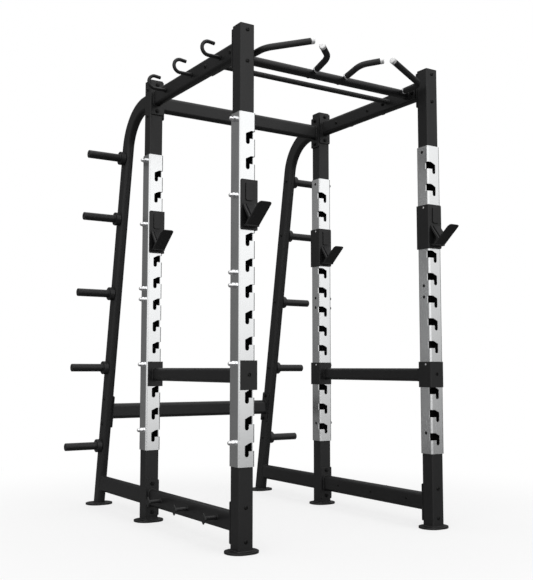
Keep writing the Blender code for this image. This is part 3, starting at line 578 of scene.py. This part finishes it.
welds = []
for label, side, y in CORNERS:
    welds.append(upright(label, side, y))
    sleeve(label, "lower", side, y, SLEEVE_BOTTOM, SLEEVE_JOINT - SEAM, range(SLOTS_LOWER))
    sleeve(label, "upper", side, y, SLEEVE_JOINT + SEAM, SLEEVE_TOP, range(SLOTS_LOWER, SLOTS))
    x = side * COL_X
    fasteners(label + "_sleeve_dome_nuts", DOME, [((x + side * SLEEVE, y, z), (side, 0, 0)) for z in NUT_Z],
              "frame", "handle_chrome", CHROME)
    bolts(label + "_sleeve_flush_bolts", FLUSH,
              [((x - side * SLEEVE, y, z), (-side, 0, 0)) for z in INNER_BOLT_Z])

# ---------------------------------------------------------------- storage posts and pegs
def post_path(n=22):
    """The post's middle line as (y, z): leaning, then bent over to the rear upright."""
    ang = math.atan(-LEAN)
    pts = [(post_y(FOOT_T - BITE), FOOT_T - BITE)]
    for i in range(n):
        a = ang + (math.pi / 2 - ang) * i / (n - 1)
        pts.append((BEND_Y + BEND_R * math.cos(a), BEND_Z + BEND_R * math.sin(a)))
    pts.append((REAR_Y + TUBE + GAP, BEND_Z + BEND_R))
    return pts


def post_rings(x, hx, hd, r):
    """The post's section at each point of its path; the lowest is cut level."""
    path = post_path()
    sec = rounded(hx, hd, r, 6)
    rings = []
    for i, (y, z) in enumerate(path):
        if i == 0:
            d = Vector((0, LEAN, 1)).normalized()
        elif i == len(path) - 1:
            d = Vector((0, -1, 0))
        else:
            a = Vector((0, path[i][0] - path[i - 1][0], path[i][1] - path[i - 1][1])).normalized()
            b = Vector((0, path[i + 1][0] - path[i][0], path[i + 1][1] - path[i][1])).normalized()
            d = (a + b).normalized()
        e2 = Vector((0, d.z, -d.y))
        ring = [Vector((x, y, z)) + Vector((p[0], 0, 0)) + e2 * p[1] for p in sec]
        if i == 0:
            ring = [q + d * ((z - q.z) / d.z) for q in ring]
        rings.append(ring)
    return rings


PEG_LENGTH = PEG_END - COL_X - POST_HX - GAP
# collar with round edges, weld up to the bar, bar with a round end and a small centre hole
PEG_ROWS = ((0.0, COLLAR_R - 0.0015), (0.0015, COLLAR_R), (COLLAR_T - 0.003, COLLAR_R),
            (COLLAR_T - 0.0012, COLLAR_R - 0.0006), (COLLAR_T - 0.0003, COLLAR_R - 0.0022),
            (COLLAR_T, COLLAR_R - 0.0040), (COLLAR_T, PEG_R + 0.0030),
            (COLLAR_T + 0.0006, PEG_R + 0.0012), (COLLAR_T + 0.0022, PEG_R),
            (PEG_LENGTH - 0.0030, PEG_R), (PEG_LENGTH - 0.0012, PEG_R - 0.0006),
            (PEG_LENGTH - 0.0003, PEG_R - 0.0018), (PEG_LENGTH, PEG_R - 0.0034),
            (PEG_LENGTH, 0.0060), (PEG_LENGTH - 0.0010, 0.0045))

for label, side in SIDES:
    x = side * COL_X
    rings = post_rings(x, POST_HX, POST_HD, POST_R)
    inner = post_rings(x, POST_HX - WALL, POST_HD - WALL, POST_R - WALL)
    ob = solid(loft(rings + list(reversed(inner)), close=True), "post")
    join(ob, foot(x, post_y(0.0)))
    steel(ob, label + "_storage_post_tube", label + "_storage_post")
    c = post_y(FOOT_T)
    lean_stretch = 1.012        # a level cut through the leaning section is about this much longer
    welds.append(bead([Vector((x + p[0], c + p[1] * lean_stretch, FOOT_T + STAND))
                       for p in rounded(POST_HX + STAND, POST_HD + STAND, POST_R, 6)],
                      "post_foot_weld", FOOT_BEAD_R))
    peg_bolts = []
    for i, z in enumerate(PEG_Z):
        name = "%s_weight_peg_%d" % (label, i + 1)
        start = (side * (COL_X + POST_HX + GAP), post_y(z), z)
        steel(solid(turned(PEG_ROWS, start, (side, 0, 0), n=48), "peg"), name + "_bar", name)
        peg_bolts.append(((x - side * POST_HX, post_y(z), z), (-side, 0, 0)))
    bolts(label + "_peg_bolts", BUTTON, peg_bolts)
    brace_z = (MID_Z - BOLT_DZ, MID_Z + BOLT_DZ)
    bolts(label + "_brace_bolts", BUTTON,
          [((x + side * POST_HX, post_y(z), z), (side, 0, 0)) for z in brace_z])

# ---------------------------------------------------------------- beams
def oval(shrink=0.0, n=6):
    return rounded(BEAM_HX - shrink, BEAM_HZ - shrink, BEAM_R - shrink, n)


def stud(x, side, y):
    """Band stud: a rod, and a square plate that stands on its corner."""
    a, b = sorted((x + side * (BEAM_HX - 0.0015), x + side * (BEAM_HX + STUD_L - STUD_HEAD_T / 2)))
    rod = cyl(STUD_R, 28, "X", a, b, (y, STUD_Z))
    turn = math.sqrt(0.5)
    square = rounded(STUD_HEAD, STUD_HEAD, 0.0016, 3)
    head = [(y + (p - q) * turn, STUD_Z + (p + q) * turn) for p, q in square]
    a, b = sorted((x + side * (BEAM_HX + STUD_L - STUD_HEAD_T), x + side * (BEAM_HX + STUD_L)))
    return rod, prism(head, "X", a, b, edge=0.0010, segments=3)


def plate_outline(hw, hh, cy, cz, tilt=0.0):
    c, s = math.cos(tilt), math.sin(tilt)
    return [(cy + p[0] * c - p[1] * s, cz + p[0] * s + p[1] * c) for p in rounded(hw, hh, PLATE_R, 4)]


for label, side in SIDES:
    x = side * COL_X
    for part, zc in (("top_beam", TOP_Z), ("floor_rail", LOW_Z)):
        ya, yb = FRONT_Y + TUBE + GAP, REAR_Y - TUBE - GAP
        ob = pipe(oval(), oval(WALL), "Y", ya + PLATE_T - BITE, yb - PLATE_T + BITE, "beam", at=(x, zc))
        for y0, y1 in ((ya, ya + PLATE_T), (yb - PLATE_T, yb)):
            join(ob, prism(rounded(TUBE, PLATE_H, PLATE_R, 4), "Y", y0, y1, at=(x, zc), edge=PLATE_EDGE))
        if part == "floor_rail":
            for dy in HOOK_DY:
                join(ob, *stud(x, side, MID_Y + dy))
        steel(ob, "%s_%s_tube" % (label, part), "%s_%s" % (label, part))
        nuts, heads = [], []
        for s in (-1, 1):
            z = zc + s * BOLT_DZ
            nuts += [((x, ya + PLATE_T, z), (0, 1, 0)), ((x, yb - PLATE_T, z), (0, -1, 0))]
            heads += [((x, FRONT_Y - TUBE, z), (0, -1, 0)), ((x, REAR_Y + TUBE, z), (0, 1, 0))]
        bolts("%s_%s_nuts" % (label, part), NUT, nuts)
        bolts("%s_%s_bolt_heads" % (label, part), BUTTON, heads)
        for y in (ya + PLATE_T + STAND, yb - PLATE_T - STAND):
            welds.append(bead([Vector((x + p[0], y, zc + p[1])) for p in oval(-STAND)], "beam_weld"))
    # the studs' welds, at the rail and behind the plate
    for dy in HOOK_DY:
        for a, r in ((BEAM_HX + 0.0002, 0.0018), (BEAM_HX + STUD_L - STUD_HEAD_T - 0.0002, 0.0014)):
            welds.append(bead([Vector((x + side * a, MID_Y + dy + p[0], STUD_Z + p[1]))
                               for p in circle(STUD_R + 0.0003, 24)], "stud_weld", r))
    # rear floor rail, cut to the lean of the post
    y0 = REAR_Y + TUBE + GAP
    rings = []
    for shrink in (0.0, WALL):
        loop = oval(shrink)
        near = [Vector((x + p[0], y0, LOW_Z + p[1])) for p in loop]
        far = []
        for p in loop:
            z = LOW_Z + p[1]
            # the post's front surface at this offset across the tube
            over = max(0.0, abs(p[0]) - (POST_HX - POST_R))
            depth = POST_HD - POST_R + math.sqrt(max(POST_R ** 2 - over ** 2, 0.0))
            far.append(Vector((x + p[0], post_y(z) - depth * math.sqrt(1 + LEAN ** 2) - STAND, z)))
        rings.append((near, far))
    ob = solid(loft([rings[0][0], rings[0][1], rings[1][1], rings[1][0]], close=True), "rail")
    steel(ob, label + "_rear_floor_rail_tube", label + "_rear_floor_rail")
    welds.append(bead([Vector((p.x, p.y - 0.0002, p.z)) for p in rings[0][1]], "rail_weld"))
    welds.append(bead([Vector((p.x, p.y + STAND, p.z)) for p in rings[0][0]], "rail_weld"))
    # the post's top meets the rear upright
    top = post_rings(x, POST_HX + STAND, POST_HD + STAND, POST_R)[-1]
    welds.append(bead([Vector((p.x, p.y + STAND, p.z)) for p in top], "post_top_weld"))

BRACE_TILT = math.atan(-LEAN)
for name, xa, yc, zc, hw, tilt in (
        ("rear_top_beam", COL_X - TUBE - GAP, REAR_Y, REAR_TOP_Z, TUBE, 0.0),
        ("rear_brace", COL_X - POST_HX - GAP, post_y(MID_Z), MID_Z, BRACE_PLATE_W, BRACE_TILT)):
    ob = pipe(oval(), oval(WALL), "X", -xa + PLATE_T - BITE, xa - PLATE_T + BITE, "beam", at=(yc, zc))
    nuts, heads = [], []
    for s in (-1, 1):
        a, b = sorted((s * xa, s * (xa - PLATE_T)))
        join(ob, prism(plate_outline(hw, PLATE_H, yc, zc, tilt), "X", a, b, edge=PLATE_EDGE))
        for t in (-1, 1):
            c = (yc - t * BOLT_DZ * math.tan(tilt), zc + t * BOLT_DZ)
            nuts.append(((s * (xa - PLATE_T), *c), (-s, 0, 0)))
            heads.append(((s * (COL_X + TUBE), *c), (s, 0, 0)))
        weld_x = s * (xa - PLATE_T - STAND)
        welds.append(bead([Vector((weld_x, yc + p[0], zc + p[1])) for p in oval(-STAND)], "beam_weld"))
    steel(ob, name + "_tube", name)
    bolts(name + "_nuts", NUT, nuts)
    if name == "rear_top_beam":
        bolts(name + "_bolt_heads", BUTTON, heads)

# ---------------------------------------------------------------- pull-up bars
thick_y, thin_y = BAR_PLATE_Y - BAR_DY, BAR_PLATE_Y + BAR_DY
xa = COL_X - BEAM_HX - GAP
ob = pipe(circle(THICK_R, 48), circle(THICK_R - WALL, 48), "X", -xa + PLATE_T - BITE, xa - PLATE_T + BITE,
          "bar", at=(thick_y, TOP_Z))
inner_heads, outer_heads = [], []
for s in (-1, 1):
    a, b = sorted((s * xa, s * (xa - PLATE_T)))
    join(ob, prism(rounded(BAR_PLATE_L, BAR_PLATE_H, PLATE_R, 4), "X", a, b, at=(BAR_PLATE_Y, TOP_Z),
                   edge=PLATE_EDGE))
    for t in (-1, 1):
        inner_heads.append(((s * (xa - PLATE_T), BAR_PLATE_Y + t * BAR_BOLT, TOP_Z), (-s, 0, 0)))
        outer_heads.append(((s * (COL_X + BEAM_HX), BAR_PLATE_Y + t * BAR_BOLT, TOP_Z), (s, 0, 0)))
    weld_x = s * (xa - PLATE_T - STAND)
    for yy, r in ((thick_y, THICK_R), (thin_y, THIN_R)):
        welds.append(bead([Vector((weld_x, yy + p[0], TOP_Z + p[1])) for p in circle(r + 0.0003, 36)],
                          "bar_weld", BAR_BEAD_R))
for s in (-1, 1):
    for pts in (INNER, OUTER):
        p, q = (Vector((s * c[0], MID_Y + c[1], c[2])) for c in pts[:2])
        d = (q - p).normalized()
        bm = bmesh.new()
        sweep([p - d * BOSS_IN, p + d * (BOSS_L - GAP)], BOSS_R, 28, bm=bm)
        join(ob, solid(bm, "boss"))
steel(ob, "pull_up_bar_frame", "pull_up_bar")
bolts("pull_up_frame_nuts", NUT, inner_heads)
bolts("pull_up_frame_bolt_heads", BUTTON, outer_heads)
xb = xa - PLATE_T - GAP
ob = pipe(circle(THIN_R, 40), circle(THIN_R - WALL, 40), "X", -xb, xb, "bar", at=(thin_y, TOP_Z))
piece(ob, "knurled_bar_tube", "frame", "frame_black", KNURL, "knurled_bar")


COLLAR_ROWS = ((0.0, 0.0168), (0.0010, 0.0172), (COLLAR_LEN - 0.0012, 0.0172), (COLLAR_LEN, 0.0162),
               (COLLAR_LEN, CORE_R))
CAP_ROWS = ((0.0, CORE_R), (0.0, GRIP_R - 0.0004), (0.0008, GRIP_R + 0.0002),
            (CAP_LEN - 0.0024, GRIP_R + 0.0002), (CAP_LEN - 0.0010, GRIP_R - 0.0006),
            (CAP_LEN - 0.0002, GRIP_R - 0.0024), (CAP_LEN, 0.0070), (CAP_LEN, 0.0030))


def rubber_grip(label, start, d0, bends, end, d1):
    """Rubber tube over a handle's core, with a soft lip at both ends."""
    path, radii = [], []
    for h, r in GRIP_LIP:
        path.append(start + d0 * h)
        radii.append(r)
    path += bends
    radii += [GRIP_R] * len(bends)
    for h, r in reversed(GRIP_LIP):
        path.append(end - d1 * h)
        radii.append(r)
    outer = sweep(path, radii, 32)
    inner = sweep(path, CORE_R + GAP, 32)
    piece(solid(loft(outer + list(reversed(inner)), close=True), "grip"), label + "_rubber_grip", "frame",
          "grip_rubber", RUBBER, label + "_grip")


def handle(label, side, pts, bend):
    """One angled handle: core and collar, cap, and grip. Gives the place of its bolt behind the bar."""
    pts = [Vector((side * p[0], MID_Y + p[1], p[2])) for p in pts]
    path = fillet_path(pts, bend, 14)
    bends = path[1:-1]
    d0 = (path[1] - path[0]).normalized()
    d1 = (path[-1] - path[-2]).normalized()
    start, end = path[0] + d0 * BOSS_L, path[-1]
    bm = bmesh.new()
    turned(COLLAR_ROWS, start, d0, n=36, bm=bm)
    sweep([start, *bends, end - d1 * 0.004], CORE_R - 0.0002, 24, bm=bm)
    piece(solid(bm, "core"), label + "_handle_core", "frame", "handle_chrome", CHROME, label + "_handle")
    bm = bmesh.new()
    turned(CAP_ROWS, end - d1 * CAP_LEN, d1, n=36, bm=bm)
    piece(solid(bm, "cap"), label + "_handle_cap", "frame", "handle_chrome", CAP)
    rubber_grip(label, start + d0 * (COLLAR_LEN + GAP), d0, bends, end - d1 * (CAP_LEN + GAP), d1)
    level = Vector((0, d0.y, d0.z)).normalized()
    return Vector((start.x, thick_y, TOP_Z)) - level * (THICK_R - 0.0012), -level


handle_bolts = []
for label, side in SIDES:
    handle_bolts.append(handle("inner_" + label, side, INNER, INNER_BEND))
    handle_bolts.append(handle("outer_" + label, side, OUTER, OUTER_BEND))
bolts("handle_nuts", NUT, handle_bolts)

# ---------------------------------------------------------------- accessory hooks
HOOK_WASHER = ((0.0, 0.0125), (0.0010, 0.0130), (0.0034, 0.0130), (0.0040, 0.0122), (0.0040, HOOK_R))


def hook_outline():
    """The hook's middle line as (x, z): shank, half a turn, and a tip that points back to the beam."""
    x0 = COL_X + BEAM_HX + GAP
    pts = [(x0, HOOK_Z), (x0 + HOOK_SHANK, HOOK_Z)]
    for k in range(25):
        a = math.radians(-90 + 180 * k / 24)
        pts.append((HOOK_X + HOOK_BEND * math.cos(a), HOOK_Z + HOOK_BEND + HOOK_BEND * math.sin(a)))
    tip_z = HOOK_Z + 2 * HOOK_BEND - 0.004
    pts += [(HOOK_TIP_X + 0.0020, tip_z + 0.0002), (HOOK_TIP_X + 0.0006, tip_z + 0.0001)]
    return pts + [(HOOK_TIP_X, tip_z)]


for label, side in SIDES:
    hook_bolts, stud_bolts = [], []
    for i, dy in enumerate(HOOK_DY):
        path = [Vector((side * u, MID_Y + dy, w)) for u, w in hook_outline()]
        radii = [HOOK_R] * (len(path) - 2) + [HOOK_R - 0.0006, HOOK_R - 0.0020]
        bm = bmesh.new()
        sweep(path, radii, 20, up=Vector((0, 1, 0)), bm=bm)
        turned(HOOK_WASHER, path[0], (side, 0, 0), n=30, bm=bm)
        name = "%s_accessory_hook_%d" % (label, i + 1)
        steel(solid(bm, "hook"), name + "_rod", name)
        hook_bolts.append(((side * (COL_X - BEAM_HX), MID_Y + dy, HOOK_Z), (-side, 0, 0)))
        stud_bolts.append(((side * (COL_X - BEAM_HX), MID_Y + dy, STUD_Z), (-side, 0, 0)))
    bolts(label + "_hook_nuts", BUTTON, hook_bolts)
    bolts(label + "_stud_bolts", SMALL, stud_bolts)

# every weld of the frame
piece(merged(welds, "weld_beads"), "weld_beads", "frame", "frame_black", WELD, weighted=False, angle=80.0)


# ---------------------------------------------------------------- bar catches
def plate_front(y):
    """The front face of a catch's front plate."""
    return y - SLEEVE - GAP - CATCH_T


def catch_profile(side, y, out):
    """Angle plate on the sleeve's front and inner faces; out is the front plate's reach outward."""
    n = SLEEVE + GAP
    o = n + CATCH_T
    pts = [(-out, -n), (-out, -o)]
    for i in range(9):
        a = math.radians(-90 + 90 * i / 8)
        pts.append((o - CATCH_R + CATCH_R * math.cos(a), -o + CATCH_R + CATCH_R * math.sin(a)))
    pts += [(o, CATCH_BACK), (n, CATCH_BACK), (n, -n)]
    return [(side * COL_X - side * u, y + v) for u, v in pts]


def catch_pin(side, y, z):
    """The pin that goes through the slot, standing out of the back of the front plate."""
    return prism(circle(PIN_R, 32), "Y", y - SLEEVE - GAP - PIN_OUT, y - SLEEVE + PIN_IN,
                 at=(side * COL_X, z), edge=0.0010)


def side_hole(side, y, top):
    """Tool for the hole near the top of a catch's side plate."""
    a, b = sorted((side * (COL_X - SLEEVE + 0.002), side * (COL_X - SLEEVE - 0.02)))
    return cyl(HOLE_R, 28, "X", a, b, (y - HOLE_BACK, top - HOLE_DOWN))


def plate_corner(side, y, z, up):
    """Rounds an outer corner of a cup's front plate; up is 1 at the top, -1 at the bottom."""
    r, edge = CUP_CORNER_R, COL_X + CUP_OUT
    pts = [(edge + 0.01, z - up * r), (edge + 0.01, z + up * 0.01), (edge - r, z + up * 0.01)]
    for i in range(10):
        a = math.radians(90 - 10 * i)
        pts.append((edge - r + r * math.cos(a), z - up * (r - r * math.sin(a))))
    return prism([(side * u, v) for u, v in pts], "Y", plate_front(y) - 0.01, y - SLEEVE)


def plug_place(side, y, top):
    """The bright plug in the hole of a catch's side plate."""
    return (side * (COL_X - SLEEVE - GAP - 0.0030), y - HOLE_BACK, top - HOLE_DOWN), (-side, 0, 0)


NOSE_D, NOSE_Z, NOSE_R = 0.1366, 1.5403, 0.0034
# rows of (distance in front of the plate, height)
CRADLE_BACK = ((-0.003, 1.5600), (0.0, 1.5560), (0.0555, 1.4846), (0.0575, 1.4834), (0.0600, 1.4838))
CRADLE_FOOT = ((0.0348, 1.4534), (0.0340, 1.4520), (0.0340, 1.4478), (0.0327, 1.4465), (-0.003, 1.4465))
CRADLE_HOLE = ((0.0, 1.5405), (0.0430, 1.4842), (0.0448, 1.4810), (0.0442, 1.4775), (0.0225, 1.4555),
               (0.0200, 1.4545), (0.0, 1.4545))
LINER_BACK = ((0.0, 1.5560), (0.0560, 1.4840))
LINER_LIP = ((0.0600, 1.4830), (0.1340, 1.5430))


def ahead(f, rows):
    """Rows of (distance in front of the plate's face f, height) as points across X."""
    return [(f - d, z) for d, z in rows]


def lip_corner(f, u, s):
    """Tool that rounds a corner of the lip; u is the lip's side face, s points outward."""
    drop = LIP_R * 0.9
    arc = []
    for i in range(8):
        a = math.radians(90 * i / 7)
        arc.append((u - s * LIP_R + s * LIP_R * math.sin(a), LIP_TOP - drop * (1 - math.cos(a))))
    arc += [(u + s * 0.01, LIP_TOP - drop), (u + s * 0.01, 1.565), (u - s * LIP_R, 1.565)]
    return prism(arc, "Y", f - 0.17, f - 0.110)


def cradle(x, f, xs):
    """The bent strip under the bar, with a hollow between it and the front plate."""
    nose = []
    for i in range(7):
        a = math.radians(128 - 180 * i / 6)
        nose.append((NOSE_D + NOSE_R * math.cos(a), NOSE_Z + NOSE_R * math.sin(a)))
    ob = prism(ahead(f, [*CRADLE_BACK, *nose, *CRADLE_FOOT]), "X", *xs, edge=0.0010)
    cut(ob, prism(ahead(f, CRADLE_HOLE), "X", x - 0.05, x + 0.05))
    return cut(ob, merged([lip_corner(f, xs[0], -1), lip_corner(f, xs[1], 1)]))


def liner(f, middle):
    """V strip that lies in the cradle, its inner corner eased by an arc of short steps."""
    a, b = (Vector(p) for p in ahead(f, LINER_BACK))
    c, d = (Vector(p) for p in ahead(f, LINER_LIP))
    back, lip = (b - a).normalized(), (d - c).normalized()
    # both normals point up, out of the cradle
    back_n, lip_n = Vector((back.y, -back.x)), Vector((lip.y, -lip.x))
    back_n = -back_n if back_n.y < 0 else back_n
    lip_n = -lip_n if lip_n.y < 0 else lip_n
    a, d = a + back * 0.0065, d - lip * 0.004
    up = Vector((0, 0.0006))
    low = [a + back_n * GAP, b + back_n * GAP + up, c + lip_n * GAP + up, d + lip_n * GAP]
    p, q = a + back_n * LINER_T, d + lip_n * LINER_T
    run = ((q.x - p.x) * lip.y - (q.y - p.y) * lip.x) / (back.x * lip.y - back.y * lip.x)
    corner = p + back * run
    near, far = corner - back * LINER_EASE, corner + lip * LINER_EASE
    arc = [far.lerp(corner, t).lerp(corner.lerp(near, t), t) for t in (0.0, 0.2, 0.4, 0.6, 0.8, 1.0)]
    return prism([(v.x, v.y) for v in low + [q, *arc, p]], "X", middle - LINER_HX, middle + LINER_HX,
                 edge=0.0014, segments=3)


def j_cup(label, side, y):
    x = side * COL_X
    f = plate_front(y)
    body = label + "_j_cup"
    ob = prism(catch_profile(side, y, CUP_OUT), "Z", CUP_BOTTOM, CUP_TOP, "cup")
    cut(ob, plate_corner(side, y, CUP_TOP, 1), plate_corner(side, y, CUP_BOTTOM, -1))
    soften(ob, CATCH_EDGE, 3)
    xs = sorted((x + side * CRADLE_OUT, x - side * CRADLE_IN))
    join(ob, cradle(x, f, xs))
    pad = prism(rounded(PAD_HX, PAD_HZ, PAD_R, 6), "Y", f - PAD_OUT, f + 0.003,
                at=(x - side * PAD_DX, PAD_Z), edge=0.0016, segments=3)
    join(ob, pad, *[catch_pin(side, y, pin_z(k)) for k in CUP_SLOTS])
    cut(ob, side_hole(side, y, CUP_TOP))
    piece(ob, body + "_body", body, "frame_black", BLACK, body)
    fasteners(body + "_plug", PLUG, [plug_place(side, y, CUP_TOP)], body, "handle_chrome", CAP)
    piece(liner(f, (xs[0] + xs[1]) / 2), body + "_pad", body, "cup_liner", LINER, body + "_liner")


def safety(label, side):
    """A rail from the front upright to the rear one, with an angle plate and a pin at each."""
    x = side * COL_X
    n = SLEEVE + GAP
    body = label + "_safety"
    ends = (FRONT_Y, REAR_Y)
    pin = pin_z(SAFETY_SLOT)
    ob, rear = [prism(catch_profile(side, y, CATCH_OUT), "Z", CATCH_BOTTOM, CATCH_TOP,
                      edge=CATCH_EDGE, segments=3) for y in ends]
    a, b = sorted((x - side * n, x - side * (n + CATCH_T)))
    c, d = sorted((x + side * RAIL_HX, x - side * (n + CATCH_T)))
    tabs = [box(a, b, FRONT_Y + TAB_BACK, FRONT_Y + n + CATCH_T, RAIL_BOTTOM, RAIL_TOP),
            box(c, d, FRONT_Y + n, FRONT_Y + n + CATCH_T, RAIL_BOTTOM, RAIL_TOP)]
    for t in tabs:
        soften(t, 0.0010)
    zc, hz = (RAIL_BOTTOM + RAIL_TOP) / 2, (RAIL_TOP - RAIL_BOTTOM) / 2
    xs = x - side * RAIL_DX
    y0, y1 = FRONT_Y + n + CATCH_T, REAR_Y - n - CATCH_T
    thin = RAIL_HX - WALL
    rail = pipe(rounded(RAIL_HX, hz, RAIL_HX, 8), rounded(thin, hz - WALL, thin, 8),
                "Y", y0 - BITE, y1 + BITE, "rail", at=(xs, zc))
    join(ob, *tabs, rail, rear, *[catch_pin(side, y, pin) for y in ends])
    cut(ob, merged([side_hole(side, y, CATCH_TOP) for y in ends]))
    middle = x - side * (n + CATCH_T - CATCH_OUT) / 2
    fronts = [plate_front(y) for y in ends]
    cut(ob, merged([cyl(RECESS_R, 28, "Y", f - 0.01, f + RECESS_T, (middle, pin)) for f in fronts]))
    piece(ob, label + "_safety_rail_body", body, "frame_black", BLACK, label + "_safety_rail")
    fasteners(label + "_safety_plugs", PLUG, [plug_place(side, y, CATCH_TOP) for y in ends],
              body, "handle_chrome", CAP)
    heads = [((middle, f + RECESS_T, pin), (0, -1, 0)) for f in fronts]
    fasteners(label + "_safety_pin_heads", PIN_HEAD, heads, body, "frame_black", BOLT)
    for end, y in (("front", y0 + STAND), ("rear", y1 - STAND)):
        ring = [Vector((xs + p[0], y, zc + p[1])) for p in rounded(RAIL_HX, hz, RAIL_HX, 6)]
        piece(bead(ring, "weld", SAFETY_BEAD_R), "%s_safety_weld_%s" % (label, end), body,
              "frame_black", WELD, weighted=False, angle=80.0)


for label, side, y in CORNERS:
    j_cup(label, side, y)
for label, side in SIDES:
    safety(label, side)

# ---------------------------------------------------------------- floor, light and camera
FLOOR_RADII, FLOOR_Z, FLOOR_STEPS = (1.0, 2.0, 4.0, 9.0, 25.0, 60.0), -0.0005, 64
FLOOR_NEAR, FLOOR_FAR, FLOOR_GLOW = 1.0, 3.0, 0.68
AMBIENT = 0.115


def floor_mesh():
    bm = bmesh.new()
    centre = bm.verts.new((0, 0, FLOOR_Z))
    loops = []
    for r in FLOOR_RADII:
        loop = []
        for k in range(FLOOR_STEPS):
            a = 2 * math.pi * k / FLOOR_STEPS
            loop.append(bm.verts.new((r * math.cos(a), r * math.sin(a), FLOOR_Z)))
        loops.append(loop)
    for k in range(FLOOR_STEPS):
        bm.faces.new((centre, loops[0][k], loops[0][(k + 1) % FLOOR_STEPS]))
    for a, b in zip(loops, loops[1:]):
        for k in range(FLOOR_STEPS):
            j = (k + 1) % FLOOR_STEPS
            bm.faces.new((a[k], b[k], b[j], a[j]))
    return solid(bm, "studio_floor")


def floor_fade(nt, distance, nearest):
    """Goes from nearest to 1 between FLOOR_NEAR and FLOOR_FAR."""
    return map_range(nt, distance, FLOOR_NEAR, FLOOR_FAR, nearest, kind="SMOOTHERSTEP")


def mixed(nt, fac, first, second):
    mix = node(nt, "ShaderNodeMixShader")
    nt.links.new(fac, mix.inputs["Fac"])
    nt.links.new(first, mix.inputs[1])
    nt.links.new(second, mix.inputs[2])
    return mix.outputs[0]


def floor():
    """Glows toward white with distance. Reflections see it dark near the object and not at all far off."""
    ob = floor_mesh()
    mat, nt, bsdf = nodes_of("studio_floor")
    link = nt.links.new
    bsdf.inputs["Base Color"].default_value = (0.90, 0.90, 0.90, 1)
    bsdf.inputs["Roughness"].default_value = 0.6
    bsdf.inputs["Specular IOR Level"].default_value = 0.2
    dark = node(nt, "ShaderNodeBsdfDiffuse")
    dark.inputs["Color"].default_value = (0.20, 0.20, 0.20, 1)
    clear = node(nt, "ShaderNodeBsdfTransparent")
    ray = node(nt, "ShaderNodeLightPath")
    glow = node(nt, "ShaderNodeEmission", Strength=1.0)
    glow.inputs["Color"].default_value = (1, 1, 1, 1)
    coord = node(nt, "ShaderNodeTexCoord")
    length = node(nt, "ShaderNodeVectorMath", operation="LENGTH")
    link(coord.outputs["Object"], length.inputs[0])
    distance = length.outputs["Value"]
    seen = mixed(nt, floor_fade(nt, distance, FLOOR_GLOW), bsdf.outputs[0], glow.outputs[0])
    reflected = mixed(nt, floor_fade(nt, distance, 0.0), dark.outputs[0], clear.outputs[0])
    surface = mixed(nt, ray.outputs["Is Camera Ray"], reflected, seen)
    link(surface, nt.nodes["Material Output"].inputs["Surface"])
    ob.data.materials.append(mat)


def lobe(nt, coord, direction, lo, hi, strength):
    """A soft area of light around one direction; lo and hi are cosines, where it starts and is full."""
    dot = node(nt, "ShaderNodeVectorMath", operation="DOT_PRODUCT")
    nt.links.new(coord, dot.inputs[0])
    dot.inputs[1].default_value = Vector(direction).normalized()
    return map_range(nt, dot.outputs["Value"], lo, hi, 0.0, strength, "SMOOTHSTEP")


def above(nt, coord, lo, hi):
    """Goes from 0 to 1 between two heights of the direction."""
    sep = node(nt, "ShaderNodeSeparateXYZ")
    nt.links.new(coord, sep.inputs[0])
    return map_range(nt, sep.outputs["Z"], lo, hi, kind="SMOOTHSTEP")


def studio():
    """White surroundings for the camera, and a softbox studio for everything else."""
    world = bpy.data.worlds.new("studio")
    bpy.context.scene.world = world
    world.use_nodes = True
    nt = world.node_tree
    nt.nodes.clear()
    coord = node(nt, "ShaderNodeTexCoord").outputs["Generated"]
    right = lobe(nt, coord, (0.37, -0.85, 0.37), 0.820, 0.955, 1.07)
    left = lobe(nt, coord, (-0.62, -0.76, 0.25), 0.64, 0.76, 0.98)
    left = maths(nt, "MULTIPLY", left, above(nt, coord, -0.20, 0.05))
    front = maths(nt, "MAXIMUM", right, left)
    overhead = lobe(nt, coord, (0.0, 0.0, 1.0), 0.45, 0.95, 1.25)
    fill = lobe(nt, coord, (-0.94, 0.25, 0.24), 0.72, 0.98, 0.43)
    total = maths(nt, "ADD", maths(nt, "ADD", front, overhead), maths(nt, "ADD", fill, AMBIENT))
    light = node(nt, "ShaderNodeBackground")
    light.inputs["Color"].default_value = (1, 1, 1, 1)
    nt.links.new(total, light.inputs["Strength"])
    white = node(nt, "ShaderNodeBackground", Strength=1.0)
    white.inputs["Color"].default_value = (1, 1, 1, 1)
    ray = node(nt, "ShaderNodeLightPath")
    surface = mixed(nt, ray.outputs["Is Camera Ray"], light.outputs[0], white.outputs[0])
    out = node(nt, "ShaderNodeOutputWorld")
    nt.links.new(surface, out.inputs["Surface"])
    bpy.context.scene.view_settings.view_transform = "Standard"


YAW, PITCH, ROLL = 0.569627, 0.089013, 0.001343
FOCAL, SENSOR = 54.376, 36.0
CAMERA_AT = (-2.61506, -3.87107 + MID_Y, 0.81206)


def camera():
    forward = Vector((math.sin(YAW) * math.cos(PITCH), math.cos(YAW) * math.cos(PITCH), math.sin(PITCH)))
    level = Vector((math.cos(YAW), -math.sin(YAW), 0.0))
    upward = level.cross(forward)
    across = level * math.cos(ROLL) + upward * math.sin(ROLL)
    upward = upward * math.cos(ROLL) - level * math.sin(ROLL)
    data = bpy.data.cameras.new("camera")
    data.lens = FOCAL
    data.sensor_width = SENSOR
    ob = bpy.data.objects.new("camera", data)
    bpy.context.collection.objects.link(ob)
    place = ob.matrix_world.copy()
    for row in range(3):
        place[row][0], place[row][1], place[row][2] = across[row], upward[row], -forward[row]
        place[row][3] = CAMERA_AT[row]
    ob.matrix_world = place
    bpy.context.scene.camera = ob


floor()
studio()
camera()
